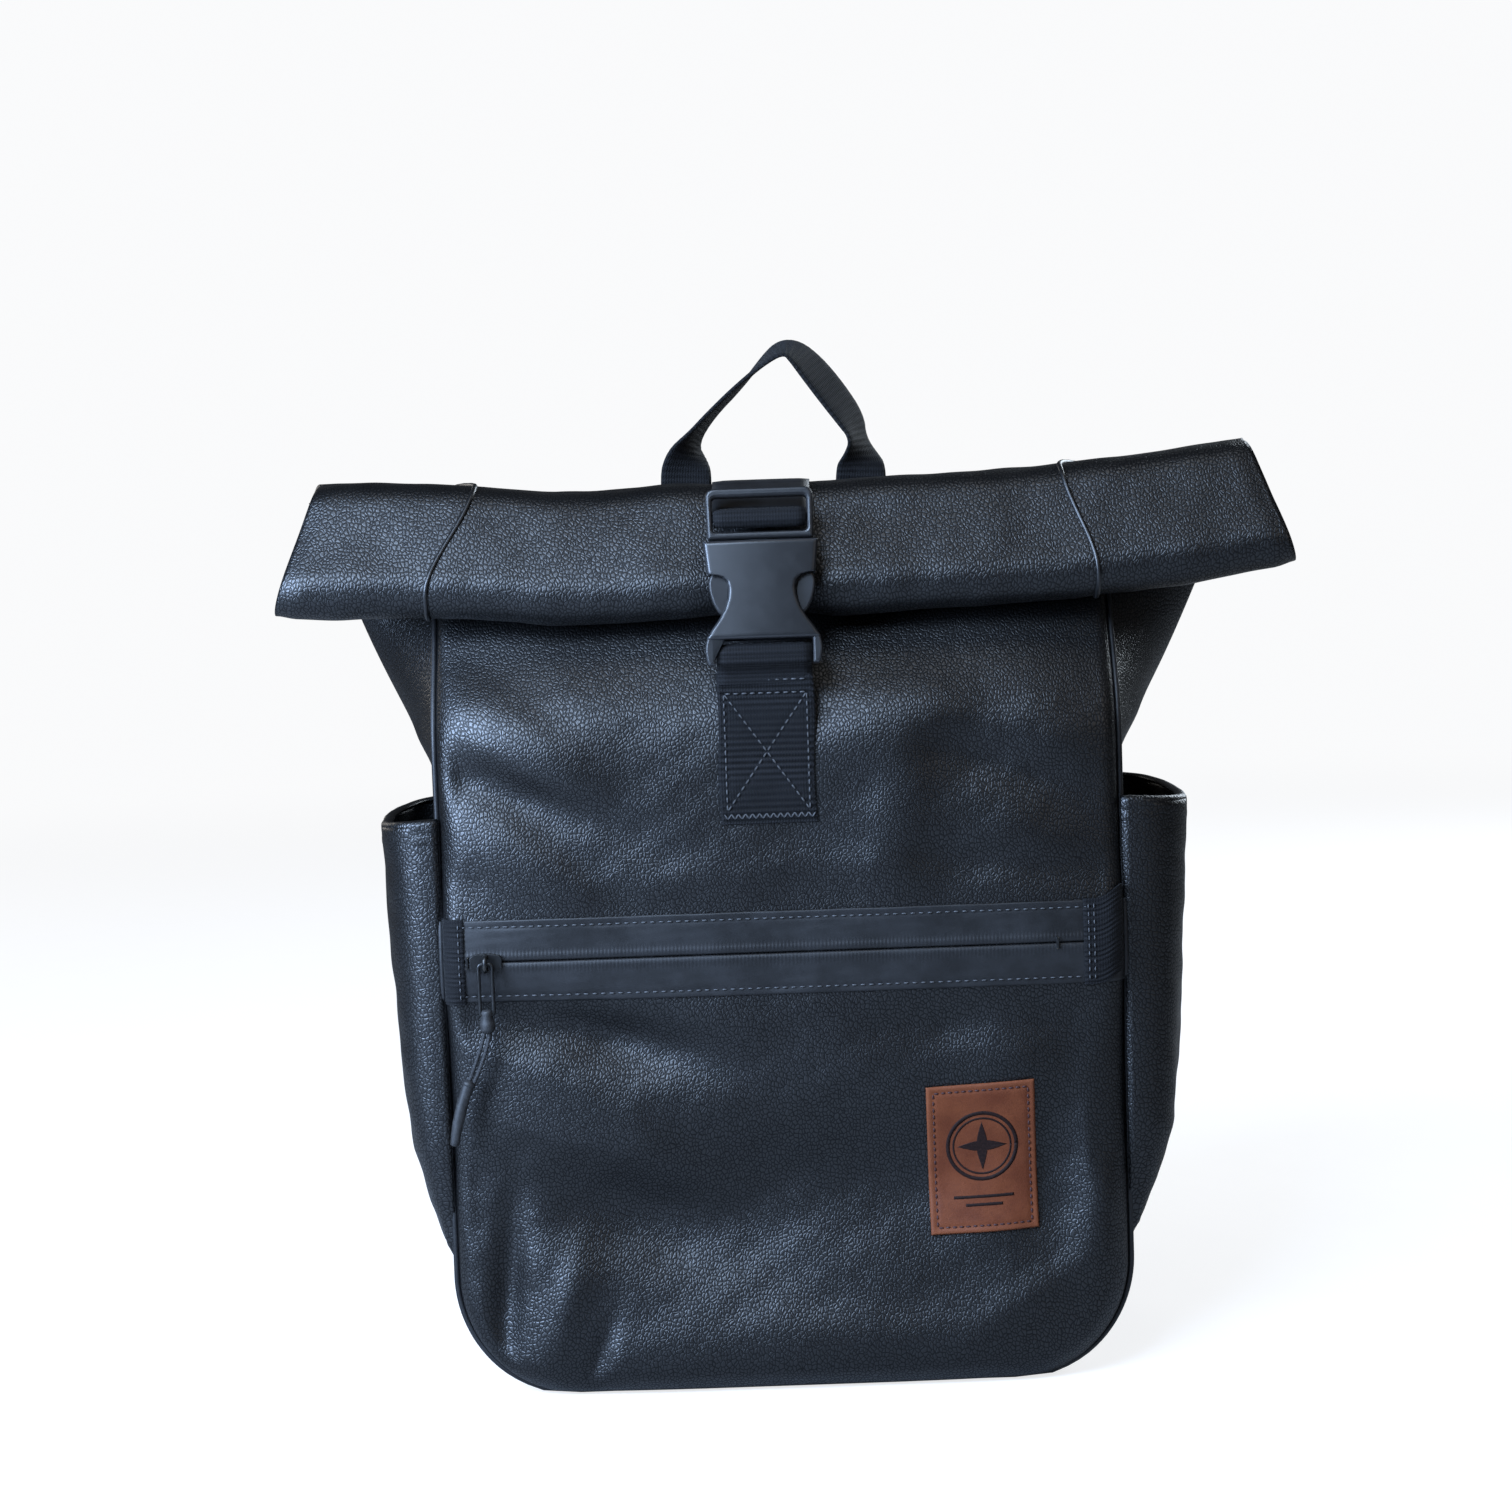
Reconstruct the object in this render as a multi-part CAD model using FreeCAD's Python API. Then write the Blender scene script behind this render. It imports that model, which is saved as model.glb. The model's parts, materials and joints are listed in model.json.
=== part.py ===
"""Roll-top backpack in pebbled leather: a soft box with a flattened collar rolled down at the front.

Millimetres. The origin is the centre of the base's underside. +X is the wearer's left when the
bag is on the back (the right-hand side seen from the front), +Y is towards the wearer's back,
and +Z is up. The front face looks along -Y.
"""
import FreeCAD, Part
import math
import os

# ---------- driving dimensions: body ----------
BODY_W = 296.0            # width of the packed lower box
BODY_D = 135.0            # depth of the packed lower box
BEND_Z = 296.0            # height where the front and back start to flatten towards the collar
COLLAR_Z = 386.0          # height of the collar's upper end, where the roll begins
COLLAR_W = 424.0          # width of the collar once it is pressed flat
COLLAR_Y = 2.0            # the flattened collar stands a little behind the middle
COLLAR_D = 8.0            # four layers pressed together
EDGE_R = 11.0             # rounded upright edges of the box
FOOT_R = 52.0             # rounded lower corners seen from the front
LEATHER = 2.2             # leather with its backing
LINING = 0.8              # woven lining
SEAM_GAP = 0.4            # room between two panels that meet at a seam
PANEL_WRAP = 15.0         # how far front and back panels reach round on to the sides

# ---------- driving dimensions: front zip ----------
ZIP_Z = 193.0             # height of the zip line
ZIP_BAND = 35.0           # height of the smooth band that holds the zip
ZIP_HALF = 137.0          # half length of the zip opening
TAPE = 1.2                # thickness of the tape
POUCH_W = 270.0           # flat pouch behind the zip
POUCH_D = 9.0
POUCH_Z0, POUCH_Z1 = 40.0, 206.0
COIL_R = 0.9              # radius of one row of coil
COIL_SLOT = 1.2           # room between the two rows
SLIDER_X = -128.0         # slider at rest, at the closed end
SLIDER_L = 14.0           # length of the slider
SLIDER_H = 8.4            # height of the slider
ZIP_TRAVEL = 235.0        # how far the slider runs
PULL_Y = -72.4            # plane in which the pull hangs
PULL_LOOP_H = 22.0        # height of the wire loop
PULL_WIRE_R = 0.8         # wire of the loop

# ---------- driving dimensions: roll, strap and buckle ----------
ROLL_X0, ROLL_X1 = -212.0, 221.0
ROLL_T = 30.0             # thickness of the roll
ROLL_H = 64.0             # height of the roll along its flat side
ROLL_TILT = 26.0          # the roll leans back by this angle
ROLL_TOP = 394.5          # highest point of the roll
ROLL_WALL = 5.0           # two outer turns of leather
STRAP_X = -4.0            # centre line of the closing strap
STRAP_W = 40.0            # webbing width of strap and buckle
STRAP_T = 1.6             # strap thickness
BUCKLE_LEAN = 8.0         # the closed buckle leans back by this angle
BUCKLE_MID_Z = 350.8      # height where the buckle touches the roll
BUCKLE_T = 10.0           # thickness of the buckle's socket half
STRAP_END_Y = -61.6       # the strap reaches the plug half of the buckle here
SOCKET_Z0, SOCKET_Z1 = 317.0, 369.5         # socket half, before the buckle is leaned back
PLUG_Z0, PLUG_Z1 = 370.2, 392.0             # frame of the plug half
BAR_Z = 322.3             # the socket's webbing bar
BAR_R = 2.0               # radius of that bar

# ---------- driving dimensions: back and carrying ----------
YOKE_Z0, YOKE_Z1 = 252.0, 292.0
YOKE_HALF = 84.0
HANDLE_X = (-36.0, 42.0)  # centre lines of the two legs of the haul handle
HANDLE_W = 23.0           # webbing width of the haul handle
HANDLE_T = 2.4
HANDLE_TOP = 453.0
HANDLE_ROOT_Z = 300.0
HANDLE_GAP = 3.0          # the legs stand off the back at their root, which leaves room to fold
HANDLE_Y = 20.5           # plane of the upper part of the handle
PAD_W = 62.0              # shoulder strap width
PAD_T = 11.0              # shoulder strap thickness
PAD_SKIN = 1.4            # cover of the shoulder strap
PAD_END_Z = 100.0         # lower end of the padding
PAD_BOW = 26.0            # how far the slack padding stands off the back
STRAP_ROOT_X = 52.0       # where a shoulder strap leaves the yoke
SPLAY = 8.0               # the straps open outwards towards the base
LOCK_W, LOCK_H, LOCK_T = 32.0, 30.0, 6.0    # ladder lock
SLING_W = 25.0            # lower webbing width
ANCHOR_Z = 36.0           # the lower webbing is sewn in at this height
POCKET_Z0, POCKET_Z1 = 62.0, 252.0
POCKET_OUT = 24.0         # how far a side pocket stands off the side at its rim
POCKET_HALF_Y = 56.0

PATCH = (47.0, 66.0)      # width and height of the leather patch
PATCH_X, PATCH_Z = 83.0, 100.0
PATCH_TURN = 4.0          # the patch is sewn on slightly askew

HALF_W = BODY_W / 2
HALF_D = BODY_D / 2
FRONT = -HALF_D
BACK = HALF_D
COLLAR_Y0 = COLLAR_Y - COLLAR_D / 2
COLLAR_Y1 = COLLAR_Y + COLLAR_D / 2
V = FreeCAD.Vector


# ---------- small geometry helpers ----------
def box(x0, x1, y0, y1, z0, z1):
    return Part.makeBox(x1 - x0, y1 - y0, z1 - z0, V(x0, y0, z0))


def face_of(points):
    return Part.Face(Part.makePolygon(points + [points[0]]))


def slab_yz(outline, x0, x1):
    """A closed outline in the side view, drawn out from x0 to x1."""
    return face_of([V(x0, y, z) for y, z in outline]).extrude(V(x1 - x0, 0, 0))


def slab_xz(outline, y0, y1):
    """A closed outline in the front view, drawn out from y0 to y1."""
    return face_of([V(x, y0, z) for x, z in outline]).extrude(V(0, y1 - y0, 0))


def rod(start, end, radius):
    run = V(*end) - V(*start)
    return Part.makeCylinder(radius, run.Length, V(*start), run)


def chain(points, radius):
    """Round rod along a row of points, with round joints."""
    body = rod(points[0], points[1], radius)
    for a, b in zip(points[1:], points[2:]):
        body = body.fuse(Part.makeSphere(radius, V(*a))).fuse(rod(a, b, radius))
    return body.removeSplitter()


def rounded_section(half_w, y0, y1, z, radius):
    """Rounded rectangle at height z, as a wire."""
    x0, x1 = -half_w, half_w
    k = radius * (1 - math.sqrt(0.5))
    corners = [((x1 - radius, y0), (x1 - k, y0 + k), (x1, y0 + radius)),
               ((x1, y1 - radius), (x1 - k, y1 - k), (x1 - radius, y1)),
               ((x0 + radius, y1), (x0 + k, y1 - k), (x0, y1 - radius)),
               ((x0, y0 + radius), (x0 + k, y0 + k), (x0 + radius, y0))]
    edges = []
    for i, (a, m, b) in enumerate(corners):
        edges.append(Part.Arc(V(*a, z), V(*m, z), V(*b, z)).toShape())
        following = corners[(i + 1) % 4][0]
        edges.append(Part.makeLine(V(*b, z), V(*following, z)))
    return Part.Wire(edges)


def bag_volume(inset, floor_z, back_inset=None):
    """Solid inside the bag's outer skin, pulled in by inset on every side."""
    back = inset if back_inset is None else back_inset
    mouth = min(inset, COLLAR_D / 2 - 0.2)
    low = rounded_section(HALF_W - inset, FRONT + inset, BACK - back, floor_z, EDGE_R - min(inset, 7))
    mid = rounded_section(HALF_W - inset, FRONT + inset, BACK - back, BEND_Z, EDGE_R - min(inset, 7))
    top = rounded_section(COLLAR_W / 2 - inset, COLLAR_Y0 + mouth, COLLAR_Y1 - mouth, COLLAR_Z, 0.3)
    lower = Part.makeLoft([low, mid], True, True)
    upper = Part.makeLoft([mid, top], True, True)
    return lower.fuse(upper).common(front_outline(inset))


def front_outline(inset):
    """Front-view outline of the bag, with rounded lower corners."""
    x = COLLAR_W / 2 + 5
    r = FOOT_R - inset
    low = inset * 0.9
    h = HALF_W - inset
    k = r * (1 - math.sqrt(0.5))
    edges = [Part.makeLine(V(-h + r, -200, low), V(h - r, -200, low)),
             Part.Arc(V(h - r, -200, low), V(h - k, -200, low + k), V(h, -200, low + r)).toShape(),
             Part.makeLine(V(h, -200, low + r), V(h, -200, BEND_Z)),
             Part.makeLine(V(h, -200, BEND_Z), V(x, -200, COLLAR_Z + 5)),
             Part.makeLine(V(x, -200, COLLAR_Z + 5), V(-x, -200, COLLAR_Z + 5)),
             Part.makeLine(V(-x, -200, COLLAR_Z + 5), V(-h, -200, BEND_Z)),
             Part.makeLine(V(-h, -200, BEND_Z), V(-h, -200, low + r)),
             Part.Arc(V(-h, -200, low + r), V(-h + k, -200, low + k), V(-h + r, -200, low)).toShape()]
    return Part.Face(Part.Wire(edges)).extrude(V(0, 400, 0))


def lean(shape, angle, y, z):
    """Tilt about the sideways line through (y, z); a positive angle leans the top back."""
    turned = shape.copy()
    turned.rotate(V(0, y, z), V(1, 0, 0), -angle)
    return turned


def slope_y(z, side):
    """Outer face of the front (side -1) or back (side 1) at a height above the bend."""
    foot = side * HALF_D
    head = COLLAR_Y0 if side < 0 else COLLAR_Y1
    return foot + (head - foot) * (z - BEND_Z) / (COLLAR_Z - BEND_Z)


# ---------- body panels ----------
def side_band(y_foot0, y_foot1, y_head0, y_head1):
    """Side-view band from the base to the collar, used to split the skin into panels."""
    top = COLLAR_Z + 6
    return slab_yz([(y_foot0, -5), (y_foot1, -5), (y_foot1, BEND_Z), (y_head1, COLLAR_Z),
                    (y_head1, top), (y_head0, top), (y_head0, COLLAR_Z), (y_foot0, BEND_Z)], -260, 260)


def skin():
    floor = 3.2
    return bag_volume(0, 0).cut(bag_volume(LEATHER, floor)).cut(box(-300, 300, -100, 100, -1, floor))


def body_panels():
    whole = skin()
    far = 120
    front = whole.common(side_band(-far, FRONT + PANEL_WRAP, -far, COLLAR_Y - 0.6))
    back = whole.common(side_band(BACK - PANEL_WRAP, far, COLLAR_Y + 0.6, far))
    middle = whole.common(side_band(FRONT + PANEL_WRAP + SEAM_GAP, BACK - PANEL_WRAP - SEAM_GAP,
                                    COLLAR_Y - 0.4, COLLAR_Y + 0.4))
    band0, band1 = ZIP_Z - ZIP_BAND / 2, ZIP_Z + ZIP_BAND / 2
    window = box(-ZIP_HALF, ZIP_HALF, FRONT - 5, FRONT + 5, band0, band1)
    seam = SEAM_GAP / 2
    lower = front.cut(window).common(box(-300, 300, -100, 100, -5, ZIP_Z - seam))
    upper = front.cut(window).common(box(-300, 300, -100, 100, ZIP_Z + seam, 500))
    left = middle.common(box(-300, -1, -100, 100, -5, 500))
    right = middle.common(box(1, 300, -100, 100, -5, 500))
    return {"front_panel_lower": lower, "front_panel_upper": upper, "back_panel": back,
            "side_gusset_left": left, "side_gusset_right": right}


def base_parts():
    full = bag_volume(0, 0)
    panel = full.common(box(-300, 300, -100, 100, 0, 3.0))
    board = bag_volume(4.0, 3.4).common(box(-300, 300, -100, 100, 3.6, 5.6))
    return {"base_panel": panel, "base_stiffener": board}


def inner_parts():
    pad_y0, pad_y1 = BACK - LEATHER - 6.4, BACK - LEATHER - 0.4
    foam = box(-124, 124, pad_y0, pad_y1, 16, 272)
    clear = LEATHER + 0.5
    outer = bag_volume(clear, 6.2, BACK - pad_y0 + 0.5)
    inner = bag_volume(clear + LINING, 6.2 + LINING, BACK - pad_y0 + 0.5 + LINING)
    head_room = box(-300, 300, -100, 100, COLLAR_Z - 12, 500)
    lining = outer.common(box(-300, 300, -100, 100, 6.2, 500)).cut(
        inner.common(box(-300, 300, -100, 100, 6.2 + LINING, 500))).cut(head_room)
    sleeve_back = pad_y0 - 0.5 - LINING - 0.4
    sleeve = box(-116, 116, sleeve_back - 22, sleeve_back, 22, 246).cut(
        box(-112, 112, sleeve_back - 19, sleeve_back - 2, 26, 250))
    bag_y0 = FRONT + LEATHER + 0.3
    lining_y = FRONT + clear + 0.2
    return {"back_foam_pad": foam, "main_lining": cut_front_pocket(lining, lining_y), "laptop_sleeve": sleeve,
            "front_pocket_bag": front_pocket(bag_y0)}


def front_pocket(y0):
    """Flat pouch that hangs behind the zip, open along the zip line."""
    half = POUCH_W / 2
    y1 = y0 + POUCH_D
    outer = box(-half, half, y0, y1, POUCH_Z0, POUCH_Z1)
    inner = box(-half + LINING, half - LINING, y0 + LINING, y1 - LINING, POUCH_Z0 + LINING, POUCH_Z1 - LINING)
    mouth = box(-half - 1, half + 1, y0 - 1, y0 + 2, ZIP_Z - 10, ZIP_Z + 10)
    return outer.cut(inner).cut(mouth)


def cut_front_pocket(lining, y0):
    """The lining steps back round the pouch of the front pocket."""
    half = POUCH_W / 2 + 4
    z0, z1 = POUCH_Z0 - 3, POUCH_Z1 + 3
    room = box(-half, half, y0 - 3, y0 + POUCH_D + 1.0, z0, z1)
    step = box(-half - LINING, half + LINING, y0 - 0.2, y0 + POUCH_D + 1.0 + LINING, z0 - LINING, z1 + LINING)
    ledge = step.cut(room).cut(box(-300, 300, -100, y0 + 0.6, 0, 500))
    return lining.cut(room).fuse(ledge)


def side_pocket(side):
    gap = 0.3
    wall = 2.2
    x0, x1 = HALF_W + gap, HALF_W + POCKET_OUT
    z0, z1 = POCKET_Z0, POCKET_Z1
    shape = [(x0, z0), (x0 + 6, z0), (x1, z0 + 44), (x1, z1), (x0, z1)]
    hole = [(x0 - 1, z0 + 4), (x0 + 4.6, z0 + 4), (x1 - wall, z0 + 45), (x1 - wall, z1 + 5), (x0 - 1, z1 + 5)]
    cup = slab_xz(shape, -POCKET_HALF_Y, POCKET_HALF_Y).cut(
        slab_xz(hole, -POCKET_HALF_Y + wall, POCKET_HALF_Y - wall))
    hem = box(x0, x1 + 1.4, -POCKET_HALF_Y - 1.4, POCKET_HALF_Y + 1.4, z1 - 9, z1).cut(
        box(x0 - 1, x1 + 0.1, -POCKET_HALF_Y - 0.1, POCKET_HALF_Y + 0.1, z1 - 10, z1 + 1))
    return [mirror_x(s) if side < 0 else s for s in (cup, hem)]


def mirror_x(shape):
    return shape.mirror(V(0, 0, 0), V(1, 0, 0))


# ---------- front zip ----------
def zip_parts():
    band0, band1 = ZIP_Z - ZIP_BAND / 2, ZIP_Z + ZIP_BAND / 2
    y0 = FRONT + 0.6
    coil_y = y0 + TAPE / 2
    row = COIL_SLOT / 2 + COIL_R
    edge = row + COIL_R + 0.2
    end = ZIP_HALF - 0.5
    coils = []
    for z in (ZIP_Z + row, ZIP_Z - row):
        coils.append(rod((-end, coil_y, z), (end - 19, coil_y, z), COIL_R))
    stop_x = SLIDER_X + ZIP_TRAVEL + SLIDER_L / 2 + 3
    stops = [box(x, x + 1.3, FRONT - 0.9, y0 - 0.35, ZIP_Z - 3, ZIP_Z + 3)
             for x in (SLIDER_X - SLIDER_L / 2 - 1.7, stop_x)]
    tab_y0, tab_y1 = FRONT - 1.7, FRONT - 0.1
    return {"zip_tape_upper": box(-end, end, y0, y0 + TAPE, ZIP_Z + edge, band1 - 0.3),
            "zip_tape_lower": box(-end, end, y0, y0 + TAPE, band0 + 0.3, ZIP_Z - edge),
            "zip_coils": Part.makeCompound(coils),
            "zip_stops": Part.makeCompound(stops),
            "zip_end_tab_left": box(-HALF_W + 1.5, -ZIP_HALF - 0.2, tab_y0, tab_y1, band0 - 1, band1 + 1),
            "zip_end_tab_right": box(ZIP_HALF - 8, HALF_W - 3, tab_y0, tab_y1, band0 - 1, band1 + 1)}


def zip_slider():
    """Front and back plates joined by a post between the coil rows, with a crown for the pull."""
    x0, x1 = SLIDER_X - SLIDER_L / 2, SLIDER_X + SLIDER_L / 2
    h = SLIDER_H / 2
    coil_y = FRONT + 0.6 + TAPE / 2
    front_y = coil_y - COIL_R - 0.25
    back_y = coil_y + COIL_R + 0.25
    front = box(x0, x1, front_y - 1.2, front_y, ZIP_Z - h, ZIP_Z + h)
    back = box(x0, x1, back_y, back_y + 1.0, ZIP_Z - h, ZIP_Z + h)
    post = box(SLIDER_X - 2, SLIDER_X + 3, front_y - 0.5, back_y + 0.5, ZIP_Z - 0.4, ZIP_Z + 0.4)
    crown = box(SLIDER_X - 2, SLIDER_X + 2, PULL_Y - 2.0, front_y - 0.6, ZIP_Z - 2.6, ZIP_Z + 2.6)
    eye = rod((SLIDER_X - 5, PULL_Y, ZIP_Z), (SLIDER_X + 5, PULL_Y, ZIP_Z), PULL_WIRE_R + 0.1)
    return front.fuse(back).fuse(post).fuse(crown).cut(eye).removeSplitter()


def pull_parts():
    half = 4.8
    top, low = ZIP_Z, ZIP_Z - PULL_LOOP_H
    y = PULL_Y
    ring = [(SLIDER_X - half, y, top), (SLIDER_X + half, y, top), (SLIDER_X + half, y, low),
            (SLIDER_X - half, y, low), (SLIDER_X - half, y, top)]
    loop = chain(ring, PULL_WIRE_R).fuse(Part.makeSphere(PULL_WIRE_R, V(*ring[0]))).removeSplitter()
    eye_r = 2.6
    knot = rod((SLIDER_X - 1.6, y, low), (SLIDER_X + 1.6, y, low), eye_r).cut(
        rod((SLIDER_X - 3, y, low), (SLIDER_X + 3, y, low), PULL_WIRE_R + 0.1))
    bead = box(SLIDER_X - 3, SLIDER_X + 3, y - 2.4, y + 2.4, low - 7.5, low - 2.0)
    cord_top, cord_low = low - 9.2, low - 30.0
    cords = [rod((SLIDER_X + s * 1.2, y, cord_top), (SLIDER_X + s * 1.2, y, cord_low), 1.1) for s in (-1, 1)]
    arc = [(SLIDER_X - 20 * (1 - math.cos(t)), y, cord_low - 27 * math.sin(t))
           for t in (0, 0.35, 0.7, 1.05, 1.4)]
    grip = chain(arc, 3.0).common(box(-300, 300, -100, 100, 0, cord_low - 0.2))
    return {"zip_pull_loop": loop, "zip_pull_bead": knot.fuse(bead).removeSplitter(),
            "zip_pull_cord": cords[0].fuse(cords[1]).removeSplitter(), "zip_pull_grip": grip}


def leather_patch():
    half_w, half_h = PATCH[0] / 2, PATCH[1] / 2
    patch = box(PATCH_X - half_w, PATCH_X + half_w, FRONT - 1.5, FRONT - 0.1,
                PATCH_Z - half_h, PATCH_Z + half_h)
    patch.rotate(V(PATCH_X, 0, PATCH_Z), V(0, 1, 0), -PATCH_TURN)
    return patch


# ---------- roll ----------
TILT = math.radians(ROLL_TILT)
ROLL_R = ROLL_T / 2
ROLL_HEAD = (-33.3, ROLL_TOP - ROLL_R)
ROLL_FOOT = (ROLL_HEAD[0] - (ROLL_H - ROLL_T) * math.sin(TILT),
             ROLL_HEAD[1] - (ROLL_H - ROLL_T) * math.cos(TILT))


def roll_solid(radius, x0, x1):
    """Flattened roll of the given half thickness, from x0 to x1."""
    head, foot = ROLL_HEAD, ROLL_FOOT
    ny, nz = -math.cos(TILT) * radius, math.sin(TILT) * radius
    flat = slab_yz([(head[0] + ny, head[1] + nz), (foot[0] + ny, foot[1] + nz),
                    (foot[0] - ny, foot[1] - nz), (head[0] - ny, head[1] - nz)], x0, x1)
    ends = [rod((x0, *c), (x1, *c), radius) for c in (head, foot)]
    return flat.fuse(ends[0]).fuse(ends[1]).removeSplitter()


def roll_parts():
    x0, x1 = ROLL_X0, ROLL_X1
    trim = slab_xz([(x0, 325), (x0, 345), (x0 + 18, 402), (x1 - 16, 402), (x1, 350), (x1, 325)], -120, 60)
    wall = roll_solid(ROLL_R, x0, x1).cut(roll_solid(ROLL_R - ROLL_WALL, x0, x1))
    head = ROLL_HEAD
    turn = slab_yz([(COLLAR_Y0, COLLAR_Z + 1), (COLLAR_Y1, COLLAR_Z + 1), (COLLAR_Y1, COLLAR_Z + 3.5),
                    (COLLAR_Y0 - 3, ROLL_TOP), (head[0], ROLL_TOP), (head[0] + 2, ROLL_TOP - 4),
                    (head[0] + ROLL_R * 0.78, COLLAR_Z + 1)], -COLLAR_W / 2, COLLAR_W / 2)
    wrap = wall.fuse(turn.cut(roll_solid(ROLL_R - ROLL_WALL / 2, x0, x1))).common(trim).removeSplitter()
    inner = roll_solid(ROLL_R - ROLL_WALL - 0.4, x0 + 4, x1 - 4).cut(
        roll_solid(ROLL_R - ROLL_WALL - 4.4, x0, x1)).common(trim)
    mid_y = (ROLL_HEAD[0] + ROLL_FOOT[0]) / 2
    mid_z = (ROLL_HEAD[1] + ROLL_FOOT[1]) / 2
    strips = []
    for offset in (-1.6, 1.6):
        strip = box(x0 + 24, x1 - 24, mid_y + offset - 0.9, mid_y + offset + 0.9, mid_z - 16, mid_z + 16)
        strips.append(lean(strip, ROLL_TILT, mid_y, mid_z))
    return {"roll_wrap": wrap, "roll_inner_turn": inner, "mouth_stiffeners": Part.makeCompound(strips)}


# ---------- closing strap and buckle ----------
BUCKLE_Y = ROLL_FOOT[0] - ROLL_R - 0.3 - STRAP_T - 0.5 - BUCKLE_T / 2


def on_buckle(shape):
    return lean(shape, BUCKLE_LEAN, BUCKLE_Y, BUCKLE_MID_Z)


def from_buckle(outline, depth):
    """Front-view outline, centred on the strap, as a slab of the given depth in the buckle plane."""
    points = [(STRAP_X + x, z) for x, z in outline]
    return on_buckle(slab_xz(points, BUCKLE_Y - depth / 2, BUCKLE_Y + depth / 2))


def buckle_box(x_half, depth, z0, z1):
    return from_buckle([(-x_half, z0), (x_half, z0), (x_half, z1), (-x_half, z1)], depth)


def buckle_bar_centre():
    """Side-view position of the socket's webbing bar, which is also its swing axis."""
    drop = BUCKLE_MID_Z - BAR_Z
    angle = math.radians(BUCKLE_LEAN)
    return BUCKLE_Y - drop * math.sin(angle), BUCKLE_MID_Z - drop * math.cos(angle)


def mirrored(half):
    """Closed outline from its right half, given from the bottom up."""
    return [(-x, z) for x, z in reversed(half)] + half


def buckle_female():
    top = SOCKET_Z1
    half = [(23.4, SOCKET_Z0), (24.9, 325), (24.2, 330), (18.4, 337), (18.4, 341), (22.8, 355), (24.3, top)]
    body = from_buckle(mirrored(half), BUCKLE_T)
    cavity = buckle_box(21.2, 6.4, 335.5, top + 2)
    windows = buckle_box(30, 6.4, 340.5, 355.5)
    slot = buckle_box(20.6, 30, SOCKET_Z0 - 2, 327.6)
    y, z = buckle_bar_centre()
    bar = rod((STRAP_X - 22, y, z), (STRAP_X + 22, y, z), BAR_R)
    return body.cut(cavity).cut(windows).cut(slot).fuse(bar).removeSplitter()


def buckle_male():
    half = [(22, PLUG_Z0), (23, PLUG_Z0 + 1.8), (23, PLUG_Z1 - 4), (20, PLUG_Z1)]
    frame = from_buckle(mirrored(half), 8.0)
    opening = buckle_box(20.5, 30, 373.4, 388).cut(buckle_box(22, 3.0, 378, 381))
    return frame.cut(opening).removeSplitter()


def buckle_prong(side):
    shape = [(11.5, 369.6), (16.5, 369.6), (17.6, 358.5), (22.4, 354.2), (22.6, 349.0),
             (21.0, 343.6), (18.6, 338.6), (15.6, 338.6), (13.4, 352.0)]
    return from_buckle([(side * x, z) for x, z in shape], 5.2)


def ring_of_webbing(z_outer, z_inner, y_outer, y_inner):
    w = STRAP_W / 2
    outer = from_buckle([(-w, z_outer[0]), (w, z_outer[0]), (w, z_outer[1]), (-w, z_outer[1])], y_outer)
    return outer.cut(buckle_box(w + 5, y_inner, *z_inner))


def strap_path(offset):
    """Side-view line of the strap: up behind the roll, over its top and straight to the buckle."""
    y, z = ROLL_HEAD
    r = ROLL_R + offset
    line = [(COLLAR_Y1, COLLAR_Z + 3.5 + offset), (COLLAR_Y0 - 3, ROLL_TOP + offset)]
    turns = [math.radians(angle) for angle in (90, 100, 110, 120)]
    line += [(y + r * math.cos(t), z + r * math.sin(t)) for t in turns]
    leave_y, leave_z = line[-1]
    return line + [(STRAP_END_Y, leave_z + (STRAP_END_Y - leave_y) * math.tan(math.radians(30)))]


def strap_parts():
    x0, x1 = STRAP_X - STRAP_W / 2, STRAP_X + STRAP_W / 2
    gap = 0.3
    front = slab_yz(strap_path(gap) + strap_path(gap + STRAP_T)[::-1], x0, x1)
    low_z = YOKE_Z1 + 6
    back = slab_yz([(slope_y(low_z, 1) + 0.4, low_z), (slope_y(low_z, 1) + 0.4 + STRAP_T, low_z),
                    (COLLAR_Y1 + 0.4 + STRAP_T, COLLAR_Z), (COLLAR_Y1 + 0.4, COLLAR_Z)], x0, x1)
    pad_y0, pad_y1 = FRONT - 3.2, FRONT - 0.2
    pad = box(x0 - 0.5, x1 + 0.5, pad_y0, pad_y1, 249, 316)
    bar_y, bar_z = buckle_bar_centre()
    ring = rod((x0, bar_y, bar_z), (x1, bar_y, bar_z), BAR_R + 0.2 + STRAP_T)
    opening = rod((x0 - 1, bar_y, bar_z), (x1 + 1, bar_y, bar_z), BAR_R + 0.2)
    tongue = slab_yz([(bar_y - 2, bar_z - 2.9), (pad_y1 + 1.8, 317.9), (pad_y1 + 1.8, 300),
                      (pad_y1 + 0.2, 300), (pad_y1 + 0.2, 316.3), (bar_y - 2, bar_z - 4.4)], x0, x1)
    return {"top_strap_front": front, "top_strap_back": back, "strap_anchor_pad": pad,
            "buckle_webbing_loop": ring.fuse(tongue).cut(opening).removeSplitter(),
            "buckle_bar_loop": ring_of_webbing((375.4, 383.6), (377.5, 381.5), 6.8, 3.6)}


# ---------- back and carrying ----------
def back_yoke():
    """Reinforcing patch that the shoulder straps are sewn into."""
    return box(-YOKE_HALF, YOKE_HALF, BACK + 0.1, BACK + 2.3, YOKE_Z0, YOKE_Z1)


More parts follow.
